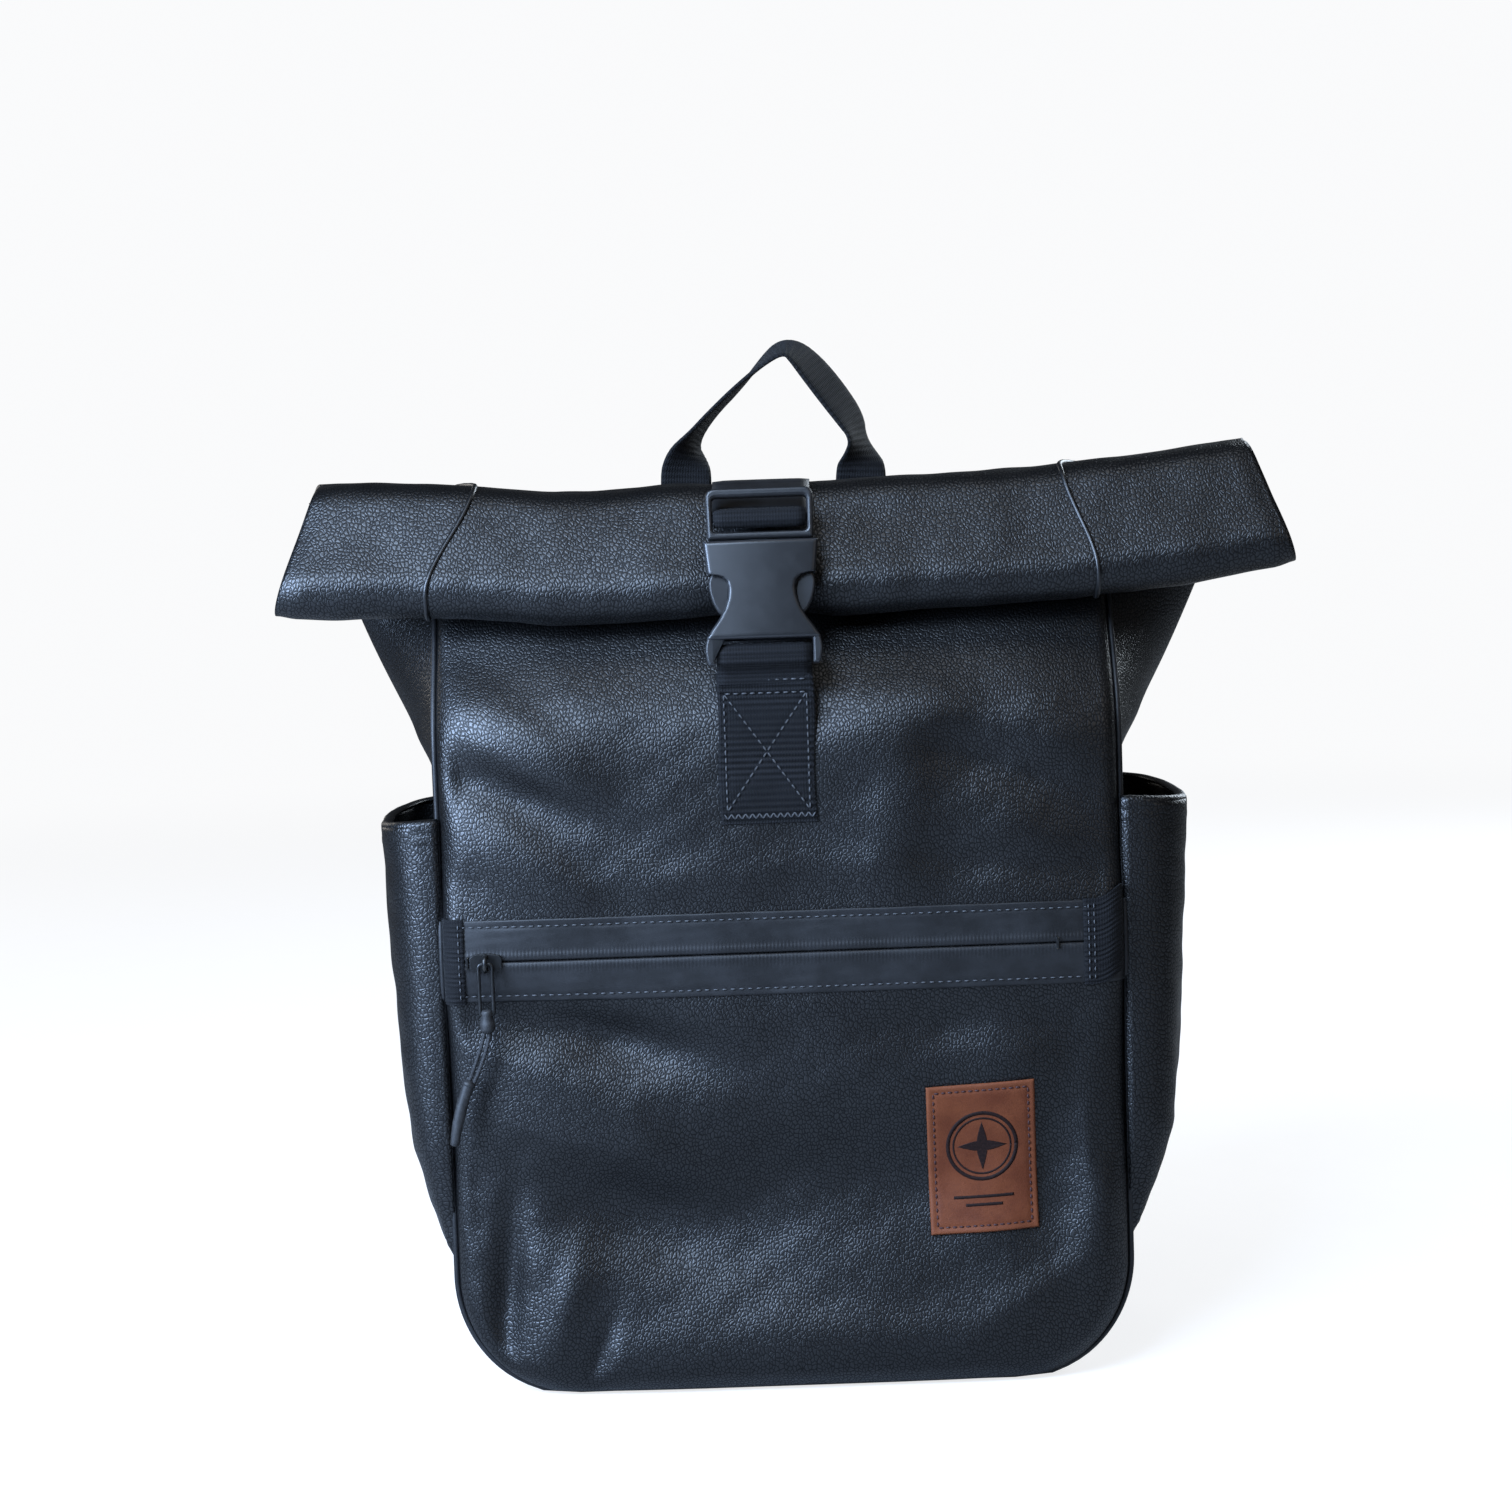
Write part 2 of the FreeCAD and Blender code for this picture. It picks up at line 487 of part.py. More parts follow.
def haul_handle():
    """Webbing loop: two legs up the sloping back, then upright to a pinched top."""
    leave_z = 368.0
    foot_y = slope_y(HANDLE_ROOT_Z, 1) + HANDLE_GAP
    knee_y = HANDLE_Y - HANDLE_T / 2
    profile = [(foot_y, HANDLE_ROOT_Z), (foot_y + HANDLE_T, HANDLE_ROOT_Z), (knee_y + HANDLE_T, leave_z),
               (knee_y + HANDLE_T, HANDLE_TOP), (knee_y, HANDLE_TOP), (knee_y, leave_z)]
    sheet = slab_yz(profile, -80, 80)
    apex_x = 12.0
    half = HANDLE_W / 2
    left, right = HANDLE_X
    shape = [(left - half, 290), (left + half, 290), (left + half, 405), (apex_x - 8, 437),
             (right - half + 4, 405), (right - half, 290), (right + half, 290), (right + half, 405),
             (apex_x + 16, HANDLE_TOP - 2), (apex_x + 6, HANDLE_TOP), (apex_x - 8, HANDLE_TOP),
             (apex_x - 18, HANDLE_TOP - 4), (left - half + 2, 405)]
    return sheet.common(slab_xz(shape, -100, 100))


def bow(z_low, z_high, y_root, y_end, depth, thickness, inset, x0, x1):
    """Band bent outwards between two heights, as a smooth bow in the side view."""
    steps = 10
    near, far = [], []
    for i in range(steps + 1):
        t = i / steps
        z = z_high + (z_low - z_high) * t
        y = y_root + (y_end - y_root) * t + depth * math.sin(math.pi * 0.92 * t)
        near.append((y + inset, z - (inset if i == 0 else -inset if i == steps else 0)))
        far.append((y + thickness - inset, z - (inset if i == 0 else -inset if i == steps else 0)))
    return slab_yz(near + far[::-1], x0, x1)


def shoulder_parts(side):
    """Padded strap, ladder lock, lower webbing, loose tail and anchor tab of one side."""
    x, y, z = STRAP_ROOT_X, BACK + 3.0, YOKE_Z0 + 6
    low, high = PAD_END_Z, YOKE_Z0 - 0.6
    half = PAD_W / 2
    drop = 8.0                # the padding's lower end rests this far behind its root
    skins = []
    for inset in (0, PAD_SKIN, PAD_SKIN + 0.4):
        skins.append(bow(low, high, y, y + drop, PAD_BOW, PAD_T, inset, x - half + inset, x + half - inset))
    lock_y = y + drop + PAD_BOW * math.sin(math.pi * 0.92)
    lock_z = low - 0.4
    lock = box(x - LOCK_W / 2, x + LOCK_W / 2, lock_y, lock_y + LOCK_T, lock_z - LOCK_H, lock_z)
    for near, far in ((5.5, 9.5), (13.5, 18.5), (22.5, 26.5)):
        lock = lock.cut(box(x - 13, x + 13, lock_y - 1, lock_y + LOCK_T + 2, lock_z - far, lock_z - near))
    half_s = SLING_W / 2
    tail = box(x - half_s, x + half_s, lock_y + LOCK_T + 0.6, lock_y + LOCK_T + 0.6 + STRAP_T,
               lock_z - 86, lock_z - 12)
    sling_z = lock_z - LOCK_H - 1
    sling = slab_yz([(lock_y + 2, sling_z), (lock_y + 3.6, sling_z), (BACK + 6.2, ANCHOR_Z + 4),
                     (BACK + 4.6, ANCHOR_Z + 4)], x - half_s, x + half_s)
    parts = {"shoulder_strap": skins[0].cut(skins[1]), "strap_foam": skins[2], "ladder_lock": lock,
             "strap_tail": tail, "strap_webbing": sling}
    for shape in parts.values():
        shape.rotate(V(x, y, z), V(0, 1, 0), -SPLAY)
    centre = x + math.tan(math.radians(SPLAY)) * (z - ANCHOR_Z)
    tab = slab_xz([(centre - 17, 20), (centre + 22, 20), (centre + 15, ANCHOR_Z + 12),
                   (centre - 15, ANCHOR_Z + 12)], BACK + 0.2, BACK + 2.6)
    parts["strap_anchor"] = tab
    return {name: (shape if side > 0 else mirror_x(shape)) for name, shape in parts.items()}


# ---------- write every node ----------
def all_parts():
    parts = {}
    parts.update(base_parts())
    parts.update(body_panels())
    parts.update(inner_parts())
    for side, word in ((-1, "left"), (1, "right")):
        cup, hem = side_pocket(side)
        parts["side_pocket_" + word] = cup
        parts["pocket_hem_" + word] = hem
        for name, shape in shoulder_parts(side).items():
            parts[name + "_" + word] = shape
    parts.update(zip_parts())
    parts["zip_slider"] = zip_slider()
    parts.update(pull_parts())
    parts["leather_patch"] = leather_patch()
    parts.update(roll_parts())
    parts["buckle_female"] = buckle_female()
    parts["buckle_male"] = buckle_male()
    parts["buckle_prong_left"] = buckle_prong(-1)
    parts["buckle_prong_right"] = buckle_prong(1)
    parts.update(strap_parts())
    parts["back_yoke"] = back_yoke()
    parts["haul_handle"] = haul_handle()
    return parts


os.makedirs("parts", exist_ok=True)
for node, solid in all_parts().items():
    solid.exportStep("parts/" + node + ".step")
    print(node, len(solid.Solids), round(sum(s.Volume for s in solid.Solids) / 1000, 2), solid.isValid())
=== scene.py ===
import json
import math
import bpy
import numpy as np
from mathutils import Matrix, Vector


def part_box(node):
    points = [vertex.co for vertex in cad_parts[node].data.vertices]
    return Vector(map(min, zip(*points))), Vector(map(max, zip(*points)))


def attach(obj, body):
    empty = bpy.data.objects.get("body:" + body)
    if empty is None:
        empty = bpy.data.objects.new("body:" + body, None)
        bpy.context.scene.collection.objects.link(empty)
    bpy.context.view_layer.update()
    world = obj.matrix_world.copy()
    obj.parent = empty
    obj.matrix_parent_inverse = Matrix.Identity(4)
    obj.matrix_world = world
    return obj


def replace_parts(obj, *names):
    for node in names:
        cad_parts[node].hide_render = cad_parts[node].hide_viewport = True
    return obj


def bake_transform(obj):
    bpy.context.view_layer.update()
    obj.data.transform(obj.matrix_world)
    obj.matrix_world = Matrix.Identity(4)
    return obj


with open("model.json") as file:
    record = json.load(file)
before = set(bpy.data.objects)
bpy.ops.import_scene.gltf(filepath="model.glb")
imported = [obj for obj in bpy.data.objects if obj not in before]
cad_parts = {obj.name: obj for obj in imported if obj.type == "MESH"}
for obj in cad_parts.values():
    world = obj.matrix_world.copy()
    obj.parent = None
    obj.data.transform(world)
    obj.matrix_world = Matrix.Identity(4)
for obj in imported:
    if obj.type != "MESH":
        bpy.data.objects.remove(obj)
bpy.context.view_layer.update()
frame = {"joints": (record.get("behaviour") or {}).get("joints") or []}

TURN = 2 * math.pi
SIDES = ((-1, "left"), (1, "right"))
FACES = ((-1, "front"), (1, "back"))
TO_FRONT, TO_BACK = (0, -1, 0), (0, 1, 0)
columns = np.column_stack


# ---------------------------------------------------------------- sizes, in millimetres
def low(node):
    return np.array(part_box(node)[0]) * 1000


def high(node):
    return np.array(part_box(node)[1]) * 1000


def middle(node):
    return (low(node) + high(node)) / 2


def joint(name):
    return next(j for j in frame["joints"] if j["name"] == name)


def pivot(name):
    return np.array(joint(name)["pos_m"]) * 1000


HALF_W = high("front_panel_lower")[0]
SEAM_W = HALF_W - 0.8     # half width between the side seams
FRONT = low("front_panel_lower")[1]
BACK, COLLAR_Z = high("back_panel")[1:]
COLLAR_HALF = high("back_panel")[0]
COLLAR_Y = 2.0            # middle of the flattened collar
COLLAR_D = 8.0            # thickness of the flattened collar
BEND_Z = 296.0            # the front and back start to lean in round this height
BEND_SPAN = (24.0, 14.0)  # half height over which the front and the back bend
FOOT_R = 52.0             # rounded lower corners seen from the front
BASE_STRIP_Z = 38.0       # the base strip reaches this far up the sides
ZIP_Z = middle("zip_coils")[2]
ZIP_BAND = 36.0           # height of the smooth band that holds the zip
BAND_LOW, BAND_HIGH = ZIP_Z - ZIP_BAND / 2, ZIP_Z + ZIP_BAND / 2
WING_Z = 258.0            # the side gusset starts to fold outwards here
GOLDEN = 2.399963         # angle step that never repeats, for scattered detail


# ---------------------------------------------------------------- small maths helpers
def smooth(a, b, t):
    s = np.clip((t - a) / (b - a), 0.0, 1.0)
    return s * s * (3 - 2 * s)


def between(a, b, t):
    return a + (b - a) * t


def hump(t, centre, width):
    """Bell curve, 1 at its centre."""
    return np.exp(-((t - centre) / width) ** 2)


def ripple(a, b, seed, wavelength):
    """Gentle deterministic unevenness in -1..1, from a few crossed waves."""
    total = 0.0
    for k in range(5):
        angle = seed + k * GOLDEN
        step = TURN / (wavelength * (0.7 + 0.25 * k))
        total = total + np.sin(step * (a * math.cos(angle) + b * math.sin(angle)) + 1.7 * k + seed)
    return total / 5


def fold(x, z, place, size, angle, height):
    """One soft ridge (or crease when height is negative), long along its own angle."""
    c, s = math.cos(math.radians(angle)), math.sin(math.radians(angle))
    along = ((x - place[0]) * c + (z - place[1]) * s) / size[0]
    across = (-(x - place[0]) * s + (z - place[1]) * c) / size[1]
    return height * np.exp(-along * along - across * across)


# ---------------------------------------------------------------- the bag's outer surfaces
def side_profile(z, side):
    """Side-view line of the front (side -1) or back (side 1): upright, then leaning to the collar."""
    foot, span = (FRONT, BEND_SPAN[0]) if side < 0 else (BACK, BEND_SPAN[1])
    slope = (COLLAR_Y + side * COLLAR_D / 2 - foot) / (COLLAR_Z - BEND_Z)
    s = np.clip((z - BEND_Z + span) / (2 * span), 0, 1)
    return foot + slope * ((s ** 3 - s ** 4 / 2) * 2 * span + np.maximum(z - BEND_Z - span, 0))


def half_width(z):
    """Half width between the front seams, with the rounded lower corners."""
    dip = np.clip(FOOT_R - z, 0, FOOT_R)
    return SEAM_W - FOOT_R + np.sqrt(FOOT_R ** 2 - dip ** 2)


def edge_radius(z):
    return 8.0 - 5.0 * smooth(270, COLLAR_Z, z)


def pillow(z):
    """How much further back the front's side seams lie than its middle; least along the zip."""
    flat_zip = 1 - 0.74 * hump(z, ZIP_Z, 32.0)
    return 7.5 * smooth(-30, 60, z) * flat_zip * (1 - smooth(320, COLLAR_Z, z))


def edge_y(z, face):
    """Depth of the seam that joins the front (face -1) or back (face 1) panel to the gusset."""
    if face < 0:
        return side_profile(z, -1) + edge_radius(z) + pillow(z)
    return side_profile(z, 1) - edge_radius(z)


def rim_distance(x, z):
    """Distance from a point of the front or back panel to the panel's outline."""
    inner = SEAM_W - FOOT_R
    in_corner = (z < FOOT_R) & (np.abs(x) > inner)
    corner = FOOT_R - np.hypot(np.abs(x) - inner, FOOT_R - z)
    return np.maximum(np.where(in_corner, corner, np.minimum(SEAM_W - np.abs(x), z)), 0)


def edge_curl(x, z):
    r = edge_radius(z)
    d = np.minimum(rim_distance(x, z), r)
    return r - np.sqrt(np.maximum(r * r - (r - d) ** 2, 0))


FRONT_FOLDS = (
    # (x, z), (half length, half width), angle, height
    ((-110, 286), (44, 13), -38, 4.6),
    ((-106, 262), (48, 10), -20, -5.0),
    ((-120, 238), (36, 14), -24, 4.6),
    ((-84, 232), (40, 10), -42, -2.6),
    ((48, 292), (36, 16), 24, 4.2),
    ((50, 250), (34, 14), 82, 3.8),
    ((94, 270), (42, 12), -20, -4.2),
    ((94, 228), (50, 9), -8, -2.4),
    ((-30, 226), (80, 9), 4, 1.6),
    ((-84, 160), (62, 13), -16, -10.0),
    ((-98, 124), (62, 13), -26, 4.5),
    ((-66, 76), (52, 20), -16, -8.0),
    ((20, 88), (88, 32), 3, -10.0),
    ((70, 160), (60, 12), 4, -3.0),
    ((-125, 46), (40, 7), 84, -6.0),
    ((-101, 36), (28, 9), 72, 4.0),
    ((-86, 18), (16, 4.5), 68, -3.0),
    ((8, 17), (112, 17), 1, 8.0),
    ((137, 92), (60, 12), 84, 7.0),
    ((112, 98), (40, 10), 84, -1.5),
    ((104, 40), (34, 10), 30, 2.5),
)


def front_relief(x, z):
    """How far the front leather stands out of its plane: soft folds, flat along the zip."""
    out = 1.3 * ripple(x, z, 0.6, 74) + 0.42 * ripple(x, z, 2.1, 26) + 0.14 * ripple(x, z, 4.4, 11)
    for one in FRONT_FOLDS:
        out = out + fold(x, z, *one)
    out = out * (1 - 0.92 * hump(z, ZIP_Z, 24.0))
    room = 1.1 + 3.0 * smooth(205, 240, z) + 5.6 * smooth(104, 70, z)
    out = np.where(out > 0, room * np.tanh(out / room), out)
    return out * smooth(0, 12, rim_distance(x, z)) * (1 - smooth(300, 330, z))


def front_y(x, z):
    fall = 1 - np.clip((half_width(z) - np.abs(x)) / 62.0, 0, 1)
    return side_profile(z, -1) + edge_curl(x, z) + pillow(z) * fall ** 2 - front_relief(x, z)


def back_relief(x, z):
    """Padded back: two long cushions with a hollow between them."""
    pad = 3.2 * (1 - smooth(0.0, 1.0, np.abs(np.abs(x) - 64) / 52.0) ** 1.5)
    pad = pad * smooth(24, 52, z) * (1 - smooth(214, 244, z))
    return (pad + 0.6 * ripple(x, z, 4.2, 60)) * smooth(0, 16, rim_distance(x, z))


def back_y(x, z):
    return side_profile(z, 1) - edge_curl(x, z) + back_relief(x, z)


def wing_reach(z, side):
    """How far the middle of the side gusset is folded out beyond the front seam."""
    full = (COLLAR_HALF - HALF_W) * (0.88 if side < 0 else 1.05)
    t = np.clip((z - WING_Z) / (COLLAR_Z - WING_Z), 0, 1)
    return 1.5 + full * t * smooth(WING_Z - 4, WING_Z + 30, z)


def gusset_point(t, z, side):
    """Side gusset; t runs from -1 at the front seam to 1 at the back seam."""
    y0, y1 = edge_y(z, -1), edge_y(z, 1)
    y = (y0 + y1) / 2 + t * (y1 - y0) / 2
    power = 3.0 - 1.75 * smooth(WING_Z, WING_Z + 40, z)
    x = half_width(z) + wing_reach(z, side) * (1 - np.abs(t) ** power)
    x = x + 0.8 * ripple(y, z, 1.3 + side, 48) * (1 - t * t)
    return side * x, y, z


def end_lift(x):
    """The roll rises a little towards its ends, and kicks up more at the right one."""
    reach = np.abs(x) / COLLAR_HALF
    return np.where(x < 0, 6.5 * reach ** 1.3 - 3.2 * hump(x, -84, 34), 12.5 * reach ** 2.6)


def sway(x, z):
    return smooth(300, 384, z) * end_lift(x)


# ---------------------------------------------------------------- lines and outlines
def path_length(points):
    return np.concatenate([[0], np.cumsum(np.linalg.norm(np.diff(points, axis=0), axis=1))])


def interp_rows(at, given, rows):
    rows = np.asarray(rows, float)
    return columns([np.interp(at, given, rows[:, k]) for k in range(rows.shape[1])])


def resample(points, pitch):
    """Points spaced evenly along a line."""
    run = path_length(points)
    return interp_rows(np.linspace(0, run[-1], max(int(run[-1] / pitch), 1) + 1), run, points)


def soften(points, rounds=2):
    """Rounds off the corners of a line while keeping its ends."""
    points = np.asarray(points, float)
    for _ in range(rounds):
        a = points[:-1] * 0.75 + points[1:] * 0.25
        b = points[:-1] * 0.25 + points[1:] * 0.75
        cut = np.stack([a, b], axis=1).reshape(-1, points.shape[1])
        points = np.vstack([points[:1], cut[1:-1], points[-1:]])
    return points


def rect(x0, z0, x1, z1):
    return [(x0, z0), (x1, z0), (x1, z1), (x0, z1)]


def around(corners):
    """The sides of a closed outline, as pairs of corners."""
    return list(zip(corners, corners[1:] + corners[:1]))


def runs(pairs, count):
    """Evenly spaced points along straight lines, as two coordinate arrays for each line."""
    t = np.linspace(0, 1, count)
    return [(between(a[0], b[0], t), between(a[1], b[1], t)) for a, b in pairs]


def rounded(corners, radius, steps=5):
    """Closed outline with each corner rounded; radius is one number or one per corner."""
    radii = [radius] * len(corners) if np.isscalar(radius) else radius
    outline = []
    for i, corner in enumerate(corners):
        p = np.array(corner, float)
        before, after = corners[i - 1] - p, corners[(i + 1) % len(corners)] - p
        lb, la = np.linalg.norm(before), np.linalg.norm(after)
        reach = min(radii[i], lb * 0.45, la * 0.45)
        a, b = p + before / lb * reach, p + after / la * reach
        for t in np.linspace(0, 1, steps + 1):
            outline.append(tuple((1 - t) ** 2 * a + 2 * t * (1 - t) * p + t * t * b))
    return outline


# ---------------------------------------------------------------- mesh builders
def new_piece(name, mesh, material, body, soft):
    mesh.polygons.foreach_set("use_smooth", [soft] * len(mesh.polygons))
    mesh.materials.clear()
    mesh.materials.append(material)
    obj = bpy.data.objects.new(name, mesh)
    bpy.context.scene.collection.objects.link(obj)
    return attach(obj, body) if body else obj


def add_mesh(name, verts, faces, material, body, uv=None):
    """verts is an (n, 3) array in millimetres; uv is per vertex, in millimetres too."""
    mesh = bpy.data.meshes.new(name)
    mesh.from_pydata((np.asarray(verts) / 1000).tolist(), [], faces)
    if uv is not None:
        layer = mesh.uv_layers.new(name="UVMap")
        corners = np.zeros(len(mesh.loops), dtype=np.int32)
        mesh.loops.foreach_get("vertex_index", corners)
        layer.data.foreach_set("uv", (np.asarray(uv)[corners] / 100).astype(np.float32).ravel())
    return new_piece(name, mesh, material, body, True)


def grid_faces(rows, cols, flip=False, closed=False):
    wide = cols if closed else cols + 1
    faces = []
    for r in range(rows):
        for c in range(cols):
            a, b = r * wide + c, r * wide + (c + 1) % wide
            faces.append((a, b, b + wide, a + wide)[::-1 if flip else 1])
    return faces


def run_length(points):
    """Distance along each row of points, as an array of the same rows."""
    step = np.linalg.norm(np.diff(points, axis=1), axis=2)
    return np.concatenate([np.zeros((points.shape[0], 1)), np.cumsum(step, axis=1)], axis=1)


def sheet(name, rows, cols, shape, material, body="root", thickness=2.0, flip=False, offset=-1.0):
    """Surface of shape(u, v) with real thickness; u runs along a row and v from row to row."""
    u, v = np.meshgrid(np.linspace(0, 1, cols + 1), np.linspace(0, 1, rows + 1))
    points = np.stack([part + 0 * u for part in shape(u, v)], axis=2)
    along = run_length(points)
    up = run_length(points.transpose(1, 0, 2)).T
    uv = np.stack([along - along[:, -1:] / 2, up], axis=2).reshape(-1, 2)
    obj = add_mesh(name, points.reshape(-1, 3), grid_faces(rows, cols, flip), material, body, uv)
    if thickness:
        solid = obj.modifiers.new("thickness", "SOLIDIFY")
        solid.thickness = thickness / 1000
        solid.offset = offset
        solid.use_even_offset = False
    return obj


def tube(name, points, radius, material, body="root", closed=False, sides=10):
    """Round cord along a line of points; radius is one number or one per point."""
    points = np.asarray(points, float)
    tangent = np.gradient(points, axis=0)
    if closed:
        tangent = np.roll(points, -1, axis=0) - np.roll(points, 1, axis=0)
    tangent /= np.linalg.norm(tangent, axis=1)[:, None]
    normal = np.cross(tangent[0], (0.31, 0.87, 0.39))
    frames = []
    for t in tangent:
        normal = normal - t * np.dot(normal, t)
        normal = normal / np.linalg.norm(normal)
        frames.append((normal, np.cross(t, normal)))
    frames = np.array(frames)[:, :, None]
    turn = np.linspace(0, TURN, sides, endpoint=False)[None, :, None]
    girth = np.broadcast_to(np.asarray(radius, float), len(points))[:, None, None]
    ring = frames[:, 0] * np.cos(turn) + frames[:, 1] * np.sin(turn)
    verts = (points[:, None] + ring * girth).reshape(-1, 3)
    rows = len(points) if closed else len(points) - 1
    faces = [tuple(i % len(verts) for i in quad) for quad in grid_faces(rows, sides, closed=True)]
    for end, outward in () if closed else ((0, -1), (len(points) - 1, 1)):
        bulge = points[end] + tangent[end] * outward * girth[end, 0, 0] * 0.5
        for k in range(sides):
            faces.append((end * sides + k, end * sides + (k + 1) % sides, len(verts))[::outward])
        verts = np.vstack([verts, bulge])
    return add_mesh(name, verts, faces, material, body)


def plate(name, loops, depth, bevel, place, material, body="root"):
    """Flat part cut from outlines (first the outside, then holes), with softened edges.

    The outlines are drawn in (x, z); depth is the full thickness along y; place moves each point.
    """
    curve = bpy.data.curves.new(name, "CURVE")
    curve.dimensions = "2D"
    curve.fill_mode = "BOTH"
    curve.extrude = max(depth / 2 - bevel, 0.01) / 1000
    curve.bevel_depth = bevel / 1000
    curve.bevel_resolution = 2
    curve.offset = -bevel / 1000
    for loop in loops:
        line = curve.splines.new("POLY")
        line.points.add(len(loop) - 1)
        line.points.foreach_set("co", [c for a, b in loop for c in (a / 1000, b / 1000, 0.0, 1.0)])
        line.use_cyclic_u = True
    shell = bpy.data.objects.new(name + "_outline", curve)
    mesh = bpy.data.meshes.new_from_object(shell)
    bpy.data.objects.remove(shell)
    bpy.data.curves.remove(curve)
    co = vertex_array(mesh) * 1000
    moved = columns(place(co[:, 0], -co[:, 2], co[:, 1])) / 1000
    mesh.vertices.foreach_set("co", moved.astype(np.float32).ravel())
    mesh.update()
    return new_piece(name, mesh, material, body, False)


def vertex_array(mesh):
    co = np.zeros(len(mesh.vertices) * 3, np.float32)
    mesh.vertices.foreach_get("co", co)
    return co.reshape(-1, 3).astype(float)


def add_rod(verts, faces, rings, flip):
    """Adds a short closed rod, given as rings of points, to a growing mesh."""
    start, sides = len(verts), len(rings[0])
    verts.extend(point for ring in rings for point in ring)
    order = -1 if flip else 1
    for a, b, c, d in grid_faces(len(rings) - 1, sides, closed=True):
        faces.append((start + a, start + b, start + c, start + d)[::order])
    last = start + (len(rings) - 1) * sides
    faces.append(tuple(start + k for k in range(sides))[::-order])
    faces.append(tuple(last + k for k in range(sides))[::order])


def stitches(name, lines, pitch, length, radius, material=None, body="root"):
    """Sewn thread: short sunk capsules along each line. A line is (points, outward directions)."""
    ends = ((-0.5, 0.25, -0.5), (-0.36, 0.8, -0.1), (0.0, 1.0, 0.2), (0.36, 0.8, -0.1), (0.5, 0.25, -0.5))
    turn = TURN * np.arange(6) / 6
    verts, faces = [], []
    for points, outward in lines:
        path = resample(points, pitch)
        normals = np.tile(np.asarray(outward, float), (len(path), 1))
        if np.ndim(outward) == 2:
            normals = interp_rows(np.linspace(0, 1, len(path)), np.linspace(0, 1, len(outward)), outward)
        for a, b, normal in zip(path, path[1:], normals):
            gap = np.linalg.norm(b - a)
            if gap < 1e-6:
                continue
            along = (b - a) / gap
            n = normal / np.linalg.norm(normal)
            circle = np.outer(np.cos(turn), np.cross(n, along)) + np.outer(np.sin(turn), n)
            centre = (a + b) / 2 + n * 0.1
            rings = [centre + along * shift * length + n * rise * radius + circle * radius * girth
                     for shift, girth, rise in ends]
            add_rod(verts, faces, rings, True)
    return add_mesh(name, np.array(verts), faces, material or GREY_THREAD, body)


def ribbon(name, centre, width, thickness, material, body="root", across=None, cols=10, step=0.6):
    """Webbing along a centre line; across gives the width direction at each given point."""
    line = resample(centre, step)
    given = path_length(centre)
    at = np.linspace(0, 1, len(line))
    side = interp_rows(at, given / given[-1], [(1, 0, 0)] * len(centre) if across is None else across)
    tangent = np.gradient(line, axis=0)
    tangent /= np.linalg.norm(tangent, axis=1)[:, None]
    side -= tangent * np.sum(side * tangent, axis=1)[:, None]
    side /= np.linalg.norm(side, axis=1)[:, None]
    face = np.cross(side, tangent)
    reach = np.arange(cols + 1) / cols - 0.5
    verts, uv = [], []
    for a, b in [(a, 0.5) for a in reach] + [(-a, -0.5) for a in reach]:
        lift = b * thickness * (1 - 0.55 * (2 * abs(a)) ** 8)
        verts.append(line + side * a * width + face * lift)
        uv.append(columns([np.full(len(line), a * width), np.arange(len(line)) * step]))
    verts, uv = np.stack(verts, axis=1), np.stack(uv, axis=1)
    rows, wide = len(line) - 1, 2 * cols + 2
    faces = grid_faces(rows, wide, closed=True)
    faces.append(tuple(range(wide))[::-1])
    faces.append(tuple(rows * wide + k for k in range(wide)))
    return add_mesh(name, verts.reshape(-1, 3), faces, material, body, uv.reshape(-1, 2))


def side_view_ribbon(name, line, x, width, thickness, material, body="root", step=0.6):
    """Webbing whose centre line is drawn in the side view; x may change along it."""
    line = np.asarray(line, float)
    return ribbon(name, columns([x + 0 * line[:, 0], line]), width, thickness, material, body, step=step)


def lathe(name, x, y, profile, material, body, sides=20):
    """Turned part about an upright line; profile is (radius, height) from the top down."""
    profile = [(0.01, profile[0][1])] + profile + [(0.01, profile[-1][1])]
    turn = TURN * np.arange(sides) / sides
    verts = [columns([x + r * np.cos(turn), y + r * np.sin(turn), z + 0 * turn]) for r, z in profile]
    faces = grid_faces(len(profile) - 1, sides, flip=True, closed=True)
    return add_mesh(name, np.vstack(verts), faces, material, body)


